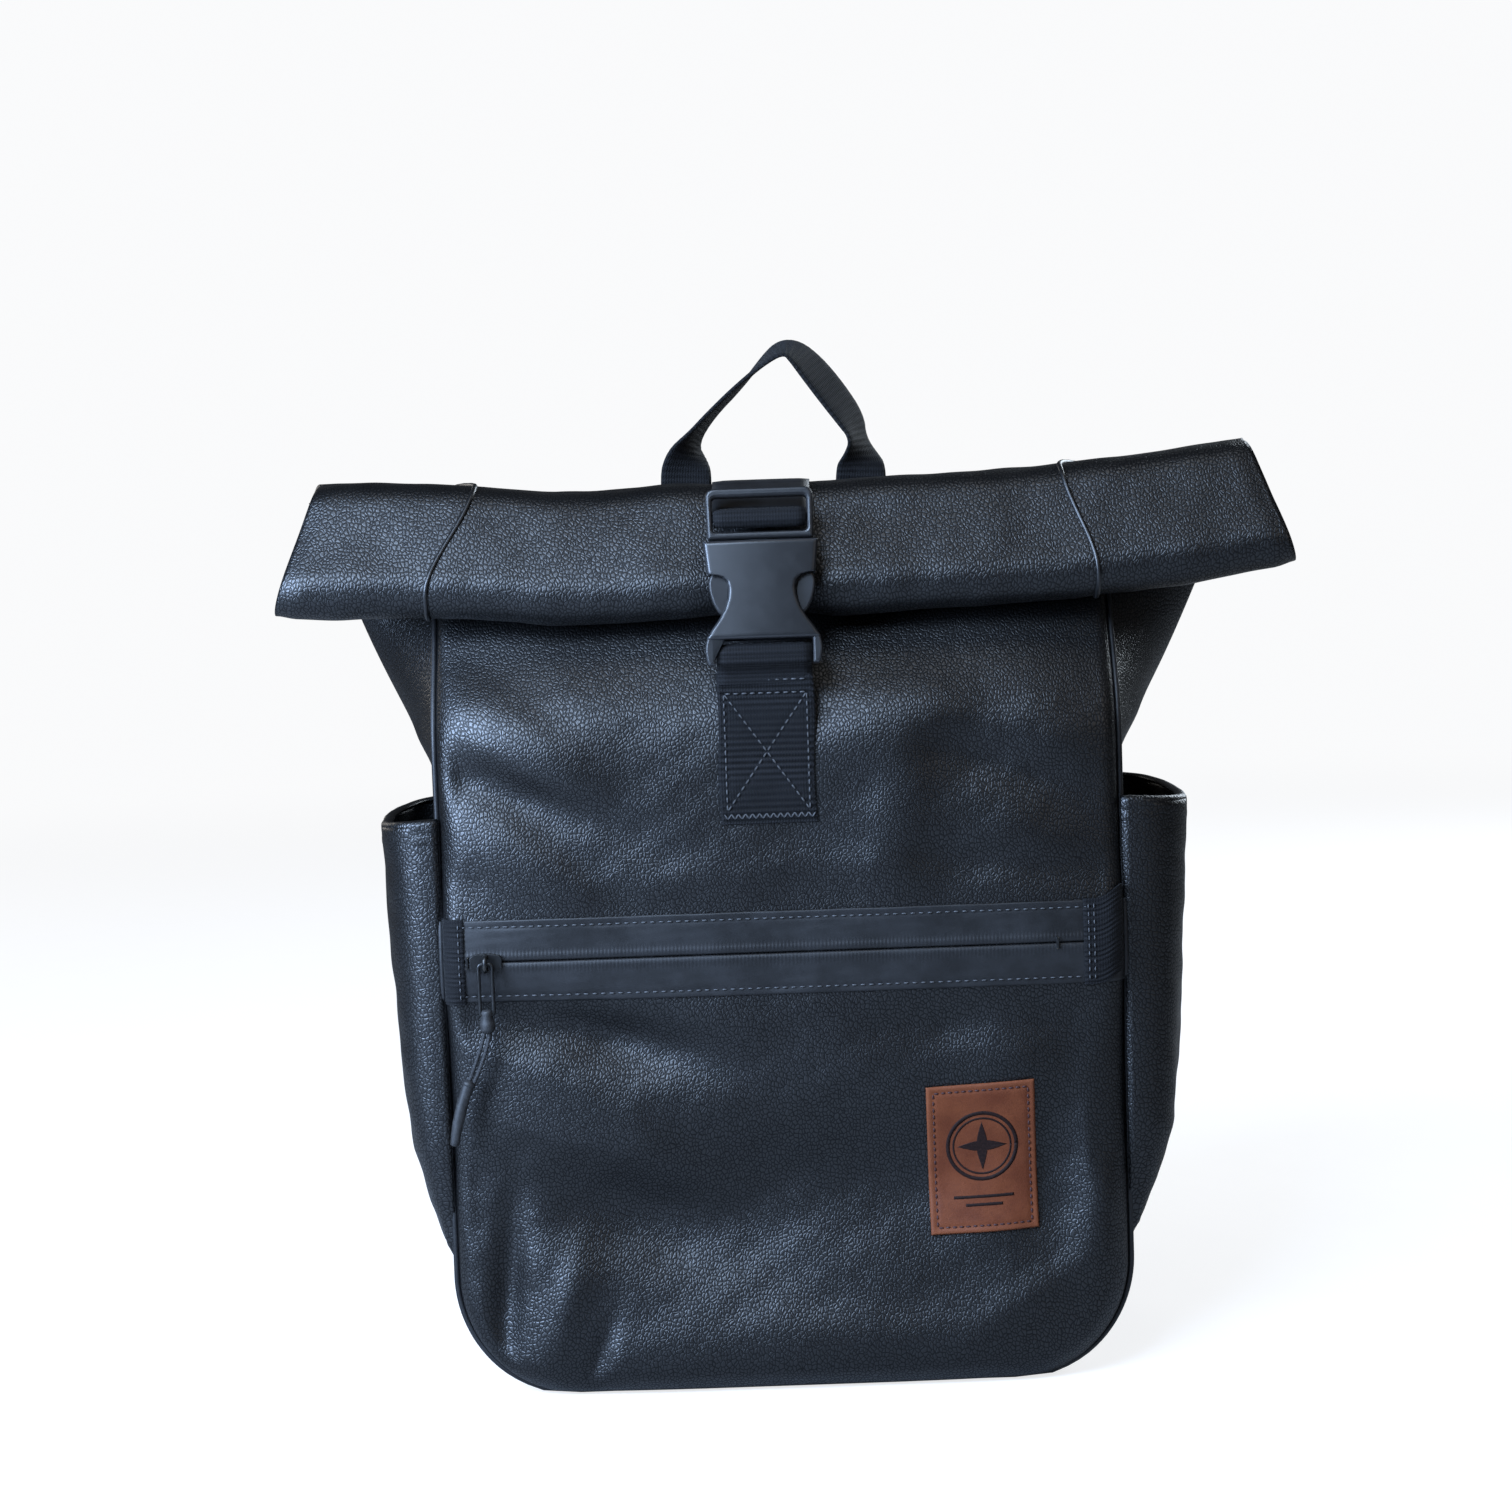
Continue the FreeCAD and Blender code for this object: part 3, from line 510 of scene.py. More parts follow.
# ---------------------------------------------------------------- materials
class Nodes:
    """Short way to build a node material."""

    def __init__(self, name):
        self.material = bpy.data.materials.new(name)
        self.material.use_nodes = True
        self.tree = self.material.node_tree
        self.shader = self.tree.nodes["Principled BSDF"]
        place = self.add("TexCoord").outputs
        self.object, self.sheet = place["Object"], place["UV"]

    def add(self, kind, settings=None, **inputs):
        node = self.tree.nodes.new("ShaderNode" + kind)
        for key, value in (settings or {}).items():
            setattr(node, key, value)
        for key, value in inputs.items():
            self.put(node, key.replace("_", " "), value)
        return node

    def put(self, node, key, value):
        if isinstance(value, bpy.types.NodeSocket):
            self.tree.links.new(value, node.inputs[key])
        else:
            node.inputs[key].default_value = value

    def math(self, operation, a, b=0.0, c=0.0):
        node = self.add("Math", {"operation": operation})
        for i, value in enumerate((a, b, c)):
            self.put(node, i, value)
        return node.outputs[0]

    def scaled(self, a, by, plus=0.0):
        """a times by, plus the third value."""
        return self.math("MULTIPLY_ADD", a, by, plus)

    def ramp(self, value, a, b, low=0.0, high=1.0):
        """value mapped from a..b to low..high, softly."""
        node = self.add("MapRange", {"interpolation_type": "SMOOTHSTEP"},
                        Value=value, From_Min=a, From_Max=b, To_Min=low, To_Max=high)
        return node.outputs["Result"]

    def mix(self, factor, a, b):
        node = self.add("Mix", {"data_type": "RGBA"}, Factor=factor)
        for socket, value in zip([s for s in node.inputs if s.type == "RGBA"], (a, b)):
            if isinstance(value, bpy.types.NodeSocket):
                self.tree.links.new(value, socket)
            else:
                socket.default_value = (*value, 1.0)
        return [s for s in node.outputs if s.type == "RGBA"][0]

    def noise(self, scale, detail=2.0, rough=0.5):
        node = self.add("TexNoise", Scale=scale, Detail=detail, Roughness=rough, Vector=self.object)
        return node.outputs["Fac"]

    def cells(self, scale, settings=None, vector=None, **inputs):
        return self.add("TexVoronoi", settings, Scale=scale, Vector=vector or self.object, **inputs).outputs

    def waves(self, direction, scale, distortion):
        settings = {"bands_direction": direction}
        node = self.add("TexWave", settings, Scale=scale, Distortion=distortion, Vector=self.object)
        return node.outputs["Fac"]

    def finish(self, colour, rough, height, strength, depth, specular=0.5, **more):
        """Ends the material; height is the relief, and depth its size in metres."""
        normal = self.add("Bump", Strength=strength, Distance=depth, Height=height).outputs["Normal"]
        for key, value in {"Base_Color": colour, "Roughness": rough, "Normal": normal,
                           "Specular_IOR_Level": specular, **more}.items():
            self.put(self.shader, key.replace("_", " "), value)
        return self.material


def dimmed(tint, share):
    return tuple(c * share for c in tint)


def pebbled_leather(name):
    """Black leather with raised pebbles split by fine creases, laid out on the sheet's own millimetre map. The
    creases carry painted shade: a darker colour and a lower specular level than the pebble tops.
    """
    m = Nodes(name)
    cell = 1.6
    shape = m.add("Mapping", Vector=m.sheet, Scale=(100 / cell, 80 / cell, 1.0)).outputs[0]
    wobble = m.add("TexNoise", Scale=0.35, Detail=2.0, Vector=shape).outputs["Color"]
    bent = m.add("VectorMath", {"operation": "MULTIPLY_ADD"})
    for key, value in enumerate((wobble, (1.5, 1.5, 0.0), shape)):
        m.put(bent, key, value)
    flat, bent = {"voronoi_dimensions": "2D"}, bent.outputs[0]
    edge = m.cells(1.0, {**flat, "feature": "DISTANCE_TO_EDGE"}, bent)["Distance"]
    own = m.scaled(m.cells(1.0, flat, bent)["Color"], 0.14)
    fine = m.cells(4.2, flat, bent)["Distance"]
    dome = m.ramp(edge, 0.0, 0.34)
    height = m.scaled(dome, m.math("ADD", own, 0.85), m.scaled(fine, 0.06))
    broad = m.ramp(m.noise(16.0, 4.0), 0.40, 0.66)
    # painted shade: the mix factor below is the pebble dome, so the creases are coloured darker; the broad
    # noise adds a random tone on the pebble tops
    rubbed = m.math("MULTIPLY", dome, m.scaled(broad, 0.40, 0.60))
    colour = m.mix(rubbed, (0.0010, 0.0010, 0.0011), (0.0021, 0.0021, 0.0023))
    rough = m.scaled(m.noise(60.0, 3.0), 0.06, m.ramp(dome, 0.1, 0.9, 0.44, 0.35))
    # the specular level also drops in the creases, as painted shade
    return m.finish(colour, rough, height, 0.42, 0.00028, m.ramp(dome, 0.0, 0.6, 0.24, 0.60))


def smooth_leather(name):
    """Fine-grained coated tape and edge binding: nearly smooth, matte."""
    m = Nodes(name)
    scuffs = m.noise(55.0, 5.0, 0.65)
    height = m.scaled(scuffs, 0.6, m.scaled(m.noise(1500.0, 3.0), 0.5))
    colour = m.mix(m.ramp(scuffs, 0.35, 0.75), (0.0040, 0.0040, 0.0044), (0.0085, 0.0087, 0.0098))
    return m.finish(colour, m.ramp(scuffs, 0.2, 0.8, 0.42, 0.56), height, 0.25, 0.0003, 0.45)


def webbing(name, pitch, lift):
    """Woven webbing: ribs across the width, yarns along it, with painted shade in the weave's hollows. Uses the
    sheet's own millimetre map.
    """
    m = Nodes(name)
    split = m.add("SeparateXYZ", Vector=m.sheet).outputs
    across, along = m.scaled(split["X"], 100.0), m.scaled(split["Y"], 100.0)
    rib = m.math("COSINE", m.scaled(along, TURN / pitch))
    weft = m.math("SINE", m.scaled(along, TURN * 2 / pitch))
    yarn = m.math("SINE", m.scaled(across, TURN / 1.25, m.scaled(weft, 0.9)))
    twist = m.math("SINE", m.scaled(across, TURN / 0.42, m.scaled(along, TURN / 0.8)))
    weave = m.scaled(rib, 0.5, m.scaled(yarn, 0.34))
    height = m.math("ADD", weave, m.scaled(twist, 0.10, m.scaled(m.noise(2600.0), 0.3)))
    # painted shade: the weave's hollows are coloured darker than its raised yarns, following the bump height
    shaded_weave = m.mix(m.ramp(height, -0.6, 0.9), (0.0014, 0.0014, 0.0017), (0.0075, 0.0076, 0.0090))
    colour = m.mix(m.ramp(m.noise(30.0, 3.0), 0.35, 0.7, 0.0, 0.6), shaded_weave, (0.0032, 0.0032, 0.0038))
    return m.finish(colour, 0.78, height, 0.75, lift / 1000, 0.20, Sheen_Weight=0.03, Sheen_Roughness=0.4)


def moulded_plastic(name):
    m = Nodes(name)
    scuffs = m.noise(140.0, 4.0, 0.7)
    edges = m.ramp(m.add("NewGeometry").outputs["Pointiness"], 0.52, 0.62)
    colour = m.mix(m.scaled(edges, 0.6), (0.0050, 0.0051, 0.0056), (0.045, 0.046, 0.050))
    height = m.scaled(scuffs, 0.5, m.scaled(m.noise(2200.0), 0.5))
    return m.finish(colour, m.ramp(scuffs, 0.3, 0.8, 0.36, 0.42), height, 0.16, 0.0002, 0.55)


def worn_metal(name):
    """Black lacquer with warm metal showing where it has rubbed off."""
    m = Nodes(name)
    rubbed = m.noise(420.0, 5.0, 0.7)
    edges = m.add("NewGeometry").outputs["Pointiness"]
    bare = m.ramp(m.scaled(edges, 1.6, m.scaled(rubbed, 0.55)), 1.22, 1.44)
    colour = m.mix(bare, (0.010, 0.010, 0.010), (0.20, 0.17, 0.12))
    rough = m.ramp(rubbed, 0.2, 0.8, 0.26, 0.44)
    return m.finish(colour, rough, rubbed, 0.12, 0.0002, Metallic=m.scaled(bare, 0.5, 0.35))


def rubber(name):
    m = Nodes(name)
    dust = m.noise(320.0, 4.0, 0.7)
    colour = m.mix(m.ramp(dust, 0.4, 0.75), (0.010, 0.010, 0.0105), (0.030, 0.030, 0.031))
    return m.finish(colour, m.ramp(dust, 0.2, 0.8, 0.5, 0.68), dust, 0.2, 0.0002)


def thread(name, tint):
    m = Nodes(name)
    plies = m.waves("DIAGONAL", 900.0, 1.0)
    colour = m.mix(m.ramp(plies, 0.2, 0.8), dimmed(tint, 0.55), tint)
    return m.finish(colour, 0.62, plies, 0.4, 0.0002)


def braided_cord(name):
    m = Nodes(name)
    braid = m.cells(1500.0)["Distance"]
    colour = m.mix(m.ramp(braid, 0.1, 0.6), (0.030, 0.030, 0.032), (0.008, 0.008, 0.009))
    return m.finish(colour, 0.7, braid, 0.5, 0.0003)


def woven_cloth(name, tint):
    m = Nodes(name)
    weave = m.math("MAXIMUM", m.waves("X", 330.0, 0.6), m.waves("Z", 330.0, 0.6))
    return m.finish(m.mix(weave, dimmed(tint, 0.6), tint), 0.85, weave, 0.4, 0.0003)


def air_mesh(name):
    """Spacer mesh: small round holes in a knitted face, the holes painted dark as shade."""
    m = Nodes(name)
    depth = m.ramp(m.cells(420.0, Randomness=0.12)["Distance"], 0.16, 0.42)
    # painted shade: the holes are coloured dark by the same depth mask that sinks them
    colour = m.mix(depth, (0.004, 0.004, 0.0045), (0.030, 0.030, 0.033))
    knit = m.scaled(m.noise(2400.0), 0.25, depth)
    return m.finish(colour, 0.8, knit, 0.7, 0.0006, Sheen_Weight=0.1)


def patch_leather(name, centre, half):
    """Terracotta leather, lighter and rubbed towards its cut edges."""
    m = Nodes(name)
    grain, mottled = m.noise(900.0, 4.0, 0.65), m.noise(70.0, 5.0, 0.6)
    split = m.add("SeparateXYZ", Vector=m.object).outputs
    rims = []
    for axis, middle_mm, half_mm in zip("XZ", centre, half):
        offset = m.math("ABSOLUTE", m.math("SUBTRACT", split[axis], middle_mm / 1000))
        rims.append(m.math("DIVIDE", offset, half_mm / 1000))
    rim = m.ramp(m.math("MAXIMUM", *rims), 0.80, 1.02)
    base = m.mix(m.ramp(mottled, 0.3, 0.72), (0.090, 0.021, 0.007), (0.130, 0.034, 0.011))
    base = m.mix(m.scaled(m.ramp(grain, 0.45, 0.75), 0.35), base, (0.058, 0.014, 0.005))
    colour = m.mix(m.scaled(rim, 0.45), base, (0.190, 0.060, 0.024))
    height = m.scaled(grain, 0.6, m.scaled(m.cells(1700.0)["Distance"], 0.4))
    return m.finish(colour, m.ramp(mottled, 0.2, 0.8, 0.50, 0.68), height, 0.45, 0.0003, 0.22)


def flat_print(name, tint):
    """Foil or ink pressed into the leather patch."""
    m = Nodes(name)
    grain = m.noise(1300.0, 3.0)
    colour = m.mix(m.ramp(grain, 0.3, 0.75), tint, dimmed(tint, 2.2))
    return m.finish(colour, 0.7, grain, 0.3, 0.0002, 0.15)


LEATHER = pebbled_leather("pebbled_leather")
FINE_LEATHER = smooth_leather("fine_leather")
WEBBING = webbing("ribbed_webbing", 2.7, 0.40)
STRAP_WEB = webbing("flat_webbing", 1.9, 0.2)
PLASTIC = moulded_plastic("moulded_plastic")
METAL = worn_metal("worn_black_metal")
RUBBER = rubber("rubber_sleeve")
CORD = braided_cord("braided_cord")
LINING = woven_cloth("lining_cloth", (0.020, 0.020, 0.022))
FOAM = woven_cloth("foam_skin", (0.05, 0.05, 0.052))
AIR_MESH = air_mesh("air_mesh")
GREY_THREAD = thread("grey_thread", (0.085, 0.087, 0.092))
MAROON_THREAD = thread("maroon_thread", (0.050, 0.012, 0.012))


# ---------------------------------------------------------------- body panels
def panel(face, z0, z1):
    """Surface of the front (face -1) or back (face 1) leather between two heights."""
    def shape(u, v):
        z = between(z0, z1, v)
        x = -face * (2 * u - 1) * half_width(z)
        return x, (front_y if face < 0 else back_y)(x, z), z + sway(x, z)
    return shape


def gusset_patch(side):
    def shape(u, v):
        x, y, z = gusset_point((2 * u - 1) * side, between(BASE_STRIP_Z - 1, COLLAR_Z, v), side)
        return x, y, z + sway(x, z)
    return shape


def front_point(x, z, proud):
    return columns([x + 0 * z, front_y(x + 0 * z, z) - proud, z])


def build_body():
    for name, rows, cols, shape, node in (
            ("front_leather_lower", 84, 190, panel(-1, 0.0, BAND_LOW + 2), "front_panel_lower"),
            ("front_leather_upper", 96, 190, panel(-1, BAND_HIGH - 2, COLLAR_Z), "front_panel_upper"),
            ("back_leather", 150, 150, panel(1, 0.0, COLLAR_Z), "back_panel"),
            ("gusset_leather_left", 150, 60, gusset_patch(-1), "side_gusset_left"),
            ("gusset_leather_right", 150, 60, gusset_patch(1), "side_gusset_right")):
        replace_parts(sheet(name, rows, cols, shape, LEATHER), node)


def base_outline():
    """Front-view line of the base strip: down one side, under the bag and up the other."""
    start = math.pi + math.asin((FOOT_R - BASE_STRIP_Z) / FOOT_R)
    line = [(FOOT_R - SEAM_W + FOOT_R * math.cos(a), 0.0, FOOT_R + FOOT_R * math.sin(a))
            for a in np.linspace(start, 0.75 * TURN, 15)]
    return line + [(-x, y, z) for x, y, z in reversed(line)]


def build_base():
    line = resample(base_outline(), 2.4)
    at = np.linspace(0, 1, len(line))

    def shape(u, v):
        x, z = np.interp(v, at, line[:, 0]), np.interp(v, at, line[:, 2])
        puff = 0.7 * np.sin(np.pi * u) ** 0.5 * smooth(2, 20, z)
        sink = 0.5 * (1 - np.sin(np.pi * u) ** 0.4)
        return x + np.sign(x) * puff, between(edge_y(z, -1), edge_y(z, 1), u), np.maximum(z, 0.0) + sink
    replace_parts(sheet("base_leather", len(line) - 1, 54, shape, LEATHER, thickness=2.2), "base_panel")
    board = plate("base_board", [rounded(rect(-104, -56, 104, 56), 10)], 2.0, 0.4,
                  lambda x, y, z: (x, z, y + 5.2), PLASTIC)
    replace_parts(board, "base_stiffener")


def seam_line(side, face):
    """Line where a front (face -1) or back (face 1) panel meets the side gusset."""
    z = np.linspace(0, COLLAR_Z, 150)
    x = side * half_width(z)
    return columns([x, edge_y(z, face), z + sway(x, z)])


def build_seams():
    """Piped seams: one run per face, down one side, under the bag and up the other side."""
    for face, word in FACES:
        x = np.linspace(-half_width(0.0), half_width(0.0), 60)[1:-1]
        under = columns([x, 0 * x + edge_y(0.0, face), 0 * x + 0.5])
        path = np.vstack([seam_line(-1, face)[::-1], under, seam_line(1, face)])
        path[:, 0] += np.sign(path[:, 0]) * 0.7 * smooth(0, 12, path[:, 2])
        path[:, 1] += face * 0.5
        path[:, 2] = np.maximum(path[:, 2], 1.3)
        tube("piping_" + word, path, 1.35, FINE_LEATHER)
    for side, word in SIDES:
        x, y, z = gusset_point(np.linspace(-0.985, 0.985, 60), np.full(60, BASE_STRIP_Z), side)
        tube("base_piping_" + word, columns([x + side * 0.5, y, z]), 1.2, FINE_LEATHER)


def build_inside():
    """Lining, sleeve, foam and pouch: seen only through the open mouth or with a panel taken off."""
    def lining_shape(u, v):
        z = 7 + (COLLAR_Z - 26) * v
        w = half_width(z) - 7 + (wing_reach(z, -1) - 2) * 0.72
        y0 = side_profile(z, -1) + 14 * (1 - smooth(230, 300, z)) + 3.0
        y1 = np.maximum(side_profile(z, 1) - 12, y0 + 2.0)
        c, s = np.cos(TURN * u), np.sin(TURN * u)
        n = 0.35 + 0.75 * smooth(246, 300, z)
        x = w * np.sign(c) * np.abs(c) ** n
        return x, (y0 + y1) / 2 + (y1 - y0) / 2 * np.sign(s) * np.abs(s) ** n, z
    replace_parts(sheet("lining", 60, 120, lining_shape, LINING, thickness=0.6), "main_lining")
    for name, node, material, soft, trim in (("back_foam", "back_foam_pad", FOAM, 2.4, (0, 0)),
                                             ("laptop_pocket", "laptop_sleeve", LINING, 6.0, (0, 0)),
                                             ("front_pouch", "front_pocket_bag", LINING, 3.0, (12.5, 9))):
        (x0, y0, z0), (x1, y1, z1) = low(node), high(node)
        y0, y1 = y0 + trim[0], y1 + trim[1]
        deep, wide, tall = y1 - y0, (x1 - x0) / 2, (z1 - z0) / 2
        outline = rounded(rect(-wide, -tall, wide, tall), 14)
        place = shifted(0, (y0 + y1) / 2, (z0 + z1) / 2)
        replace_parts(plate(name, [outline], deep, min(soft, deep * 0.45), place, material), node)


def shifted(dx, dy, dz, wide=1.0, tall=1.0):
    """Placement of a flat part that only moves it, after scaling its outline."""
    return lambda x, y, z: (x * wide + dx, y + dy, z * tall + dz)


# ---------------------------------------------------------------- front zip
def band_patch(z0, z1, hem_at_top):
    def shape(u, v):
        z = between(z0, z1, v)
        x = (2 * u - 1) * (half_width(z) + 0.2)
        near_zip = v if hem_at_top else 1 - v
        lip = 0.40 * hump(near_zip, 0.88, 0.07) - 0.25 * smooth(0.95, 1.0, near_zip)
        sewn = -0.28 * hump(near_zip, 0.17, 0.05)
        coil = 0.10 * np.sin(TURN * x / 1.6) * hump(near_zip, 0.84, 0.10)
        pucker = 0.22 * ripple(x, z * 3, 5.0, 17)
        return x, front_y(x, z) - 0.75 - lip - sewn - coil - pucker * (1 - near_zip), z
    return shape


def build_zip():
    gap = 0.16
    for word, z0, z1 in (("lower", BAND_LOW, ZIP_Z - gap), ("upper", ZIP_Z + gap, BAND_HIGH)):
        shape = band_patch(z0, z1, word == "lower")
        band = sheet("zip_band_" + word, 22, 560, shape, FINE_LEATHER, thickness=1.0)
        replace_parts(band, "zip_tape_" + word)
    x = np.linspace(-HALF_W + 5, HALF_W - 5, 200)
    rows = [(front_point(x, np.full(200, z), 0.95), TO_FRONT) for z in (BAND_LOW + 2.9, BAND_HIGH - 2.9)]
    stitches("zip_band_stitching", rows, 3.7, 2.1, 0.32)
    build_coils()
    for side, word in SIDES:
        build_zip_tab(side, word)


def build_coils():
    """Two rows of hooked teeth: short bent bars, alternating across the zip line."""
    pitch = 1.5
    y = middle("zip_coils")[1]
    x0, x1 = low("zip_coils")[0], high("zip_coils")[0]
    a = TURN * np.arange(6) / 6
    circle = columns([np.cos(a) * 0.34, np.sin(a) * 0.30, 0 * a])
    bend = ((2.4, 0.5), (1.4, -0.45), (0.45, -0.7), (0.1, -0.2), (0.5, 0.45))
    verts, faces = [], []
    for i in range(int((x1 - x0) / pitch)):
        for row, shift in ((-1, 0.0), (1, 0.5)):
            x = x0 + (i + shift) * pitch
            rings = [circle + (x, y + deep, ZIP_Z + row * reach) for reach, deep in bend]
            add_rod(verts, faces, rings, False)
    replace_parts(add_mesh("zip_teeth", np.array(verts), faces, PLASTIC, "root"), "zip_coils")


def build_zip_tab(side, word):
    """Folded webbing over an end of the zip, with upright rows of stitching."""
    node = "zip_end_tab_" + word
    x0, x1 = low(node)[0], half_width(ZIP_Z) - 0.3
    if side < 0:
        x0, x1 = -x1, high(node)[0]
    curve_up = 5.0 if side > 0 else 0.0

    def shape(u, v):
        x = between(x0, x1, u)
        z = BAND_LOW - 0.6 + (ZIP_BAND + 1.2) * v
        ribs = 0.16 * np.cos(TURN * z / 2.2)
        crown = 0.5 * np.sin(np.pi * u) ** 0.5
        return x, front_y(x, z) - 1.25 - crown - ribs, z + curve_up * smooth(0.2, 1.0, u) ** 1.5
    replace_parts(sheet("zip_tab_" + word, 110, 14, shape, STRAP_WEB, thickness=1.2), node)
    rows = []
    for x in ((x0 + 2.2, x0 + 4.6) if side > 0 else (x1 - 2.4,)):
        line = front_point(x, np.linspace(BAND_LOW + 1, BAND_HIGH - 1, 40), 1.95)
        line[:, 2] += curve_up * smooth(0.2, 1.0, (x - x0) / (x1 - x0)) ** 1.5
        rows.append((line, TO_FRONT))
    stitches("zip_tab_stitching_" + word, rows, 3.2, 1.9, 0.30)


def build_slider():
    """Slider body, its crown, the wire loop, the bead, two cords and the curved rubber grip."""
    x, z = middle("zip_slider")[0], ZIP_Z
    y = pivot("pull_lift")[1]
    front, face_y = low("zip_slider")[1], FRONT - 1.3
    half_outline = [(-7, -2.6), (-4.4, -4.1), (2.5, -4.1), (7, -3.0)]
    outline = rounded(half_outline + [(a, -b) for a, b in reversed(half_outline)], 1.6)
    body = plate("slider_body", [outline], 1.7, 0.45, shifted(x, face_y, z), METAL, "zip_slider")
    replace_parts(body, "zip_slider")
    plate("slider_back", [outline], 1.0, 0.3, shifted(x, FRONT + 3.0, z, 0.96, 0.9), METAL, "zip_slider")
    arch = ((-3.1, face_y), (-2.9, front + 1.2), (-1.6, front + 0.4), (0, front + 0.2), (1.6, front + 0.4),
            (2.9, front + 1.2), (3.1, face_y))
    tube("slider_crown", [(x, deep, z + up) for up, deep in arch], 1.0, METAL, "zip_slider")
    half = 2.9
    ring = rounded(rect(-half, low("zip_pull_loop")[2] + 0.8, half, z), 1.6, 4)
    loop = tube("pull_loop", [(a + x, y, b) for a, b in ring], 0.85, METAL, "zip_pull", closed=True)
    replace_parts(loop, "zip_pull_loop")
    top, bottom = high("zip_pull_bead")[2], low("zip_pull_bead")[2]
    profile = [(2.0, top - 0.4), (2.7, top - 1.6), (2.2, top - 2.6), (3.1, bottom + 4.6),
               (3.2, bottom + 1.6), (2.5, bottom), (0.6, bottom - 0.3)]
    bead = lathe("pull_bead", x, y, profile, RUBBER, "zip_pull")
    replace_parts(bead, "zip_pull_bead")
    cord_low = low("zip_pull_cord")[2]
    t = np.linspace(0, 1, 12)
    for k, s in enumerate((-1, 1)):
        line = columns([x + s * (1.05 + 0.3 * np.sin(math.pi * t)) - 9 * t ** 1.3, y + 0 * t,
                        bottom + 1.5 + (cord_low - 3 - bottom) * t])
        cord = tube("pull_cord_%d" % (k + 1), line, 0.9, CORD, "pull_grip")
        if k == 0:
            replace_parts(cord, "zip_pull_cord")
    t = np.linspace(0, 1, 22)
    arc = columns([x - 8.8 - 11 * t + 3.5 * t * t, y + 0 * t, cord_low + 1.0 - 27 * t])
    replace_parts(tube("pull_sleeve", arc, 2.6 - 0.7 * t ** 3, RUBBER, "pull_grip", sides=16), "zip_pull_grip")
    tube("sleeve_ring", arc[:2], 2.95, RUBBER, "pull_grip", sides=16)
    stop_outline = rounded(rect(0, -2.6, 1.3, 2.6), 0.5)
    for word, place in (("left", low("zip_stops")[0]), ("right", high("zip_stops")[0] - 1.3)):
        stop = plate("zip_stop_" + word, [stop_outline], 1.8, 0.35, shifted(place, FRONT - 0.9, z), METAL)
        if word == "left":
            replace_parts(stop, "zip_stops")


# ---------------------------------------------------------------- the roll
ROLL_HEAD = np.array([-33.3, 379.5])     # centres of the roll's two rounded ends, seen from the side
ROLL_FOOT = np.array([-48.2, 348.9])
ROLL_R = 13.0                            # middle of the outermost layer
ROLL_PITCH = 4.6                         # each turn lies this far inside the one before
ROLL_FRONT_ANGLE = 154.0                 # direction the roll's flat front faces
ROLL_START_ANGLE = 85.0
ROLL_STEP = 2.2                          # spacing of points along the rolled line


def direction(degrees):
    return np.array([math.cos(math.radians(degrees)), math.sin(math.radians(degrees))])


def roll_spiral(turns=1.8, lift=0.0):
    """Side-view line of the rolled mouth as (y, z, outward y, outward z), from the collar inwards."""
    line = [(2.0, 377.0, 1.0, 0.0), (1.9, 383.0, 1.0, 0.1), (0.4, 387.2, 0.8, 0.5), (-3.4, 390.4, 0.4, 0.9),
            (-9.0, 392.0, 0.15, 1.0), (-16.0, 392.7, 0.0, 1.0), (-24.0, 393.0, 0.0, 1.0)]
    step = 9
    angle = ROLL_START_ANGLE
    while angle < ROLL_START_ANGLE + 360 * turns:
        phase = (angle - ROLL_FRONT_ANGLE) % 360
        a, b, edge = (ROLL_FOOT, ROLL_HEAD, 180) if phase < 180 else (ROLL_HEAD, ROLL_FOOT, 360)
        r = ROLL_R - ROLL_PITCH * (angle - ROLL_START_ANGLE) / 360
        n = direction(angle)
        line.append((*(a + n * r), *n))
        if phase + step >= edge:
            n = direction(angle + edge - phase)
            line += [(*(a + (b - a) * share + n * r), *n) for share in np.linspace(0, 1, 12)]
        angle += step
    line = np.array(line)
    line[:, :2] += line[:, 2:] * lift
    run = path_length(line[:, :2])
    return interp_rows(np.linspace(0, run[-1], int(run[-1] / ROLL_STEP)), run, line)


def roll_relief(x, run):
    """Soft unevenness of the rolled leather; the strap presses a hollow in the middle."""
    out = 0.9 * ripple(x, run, 3.3, 64) + 0.35 * ripple(x, run, 0.9, 22)
    press = np.exp(-(np.abs(x + 4) / 26.0) ** 6)
    tuck = fold(x, run, (-78, 52), (34, 13), 20, -1.5) + fold(x, run, (76, 60), (52, 12), -8, -1.0)
    return (out + tuck) * (1 - 0.7 * press) - 1.0 * press


def roll_surface(x, run):
    """The relief faded out at the collar and towards the inner turns."""
    return roll_relief(x, run) * smooth(14, 40, run) * (1 - 0.8 * smooth(120, 200, run))


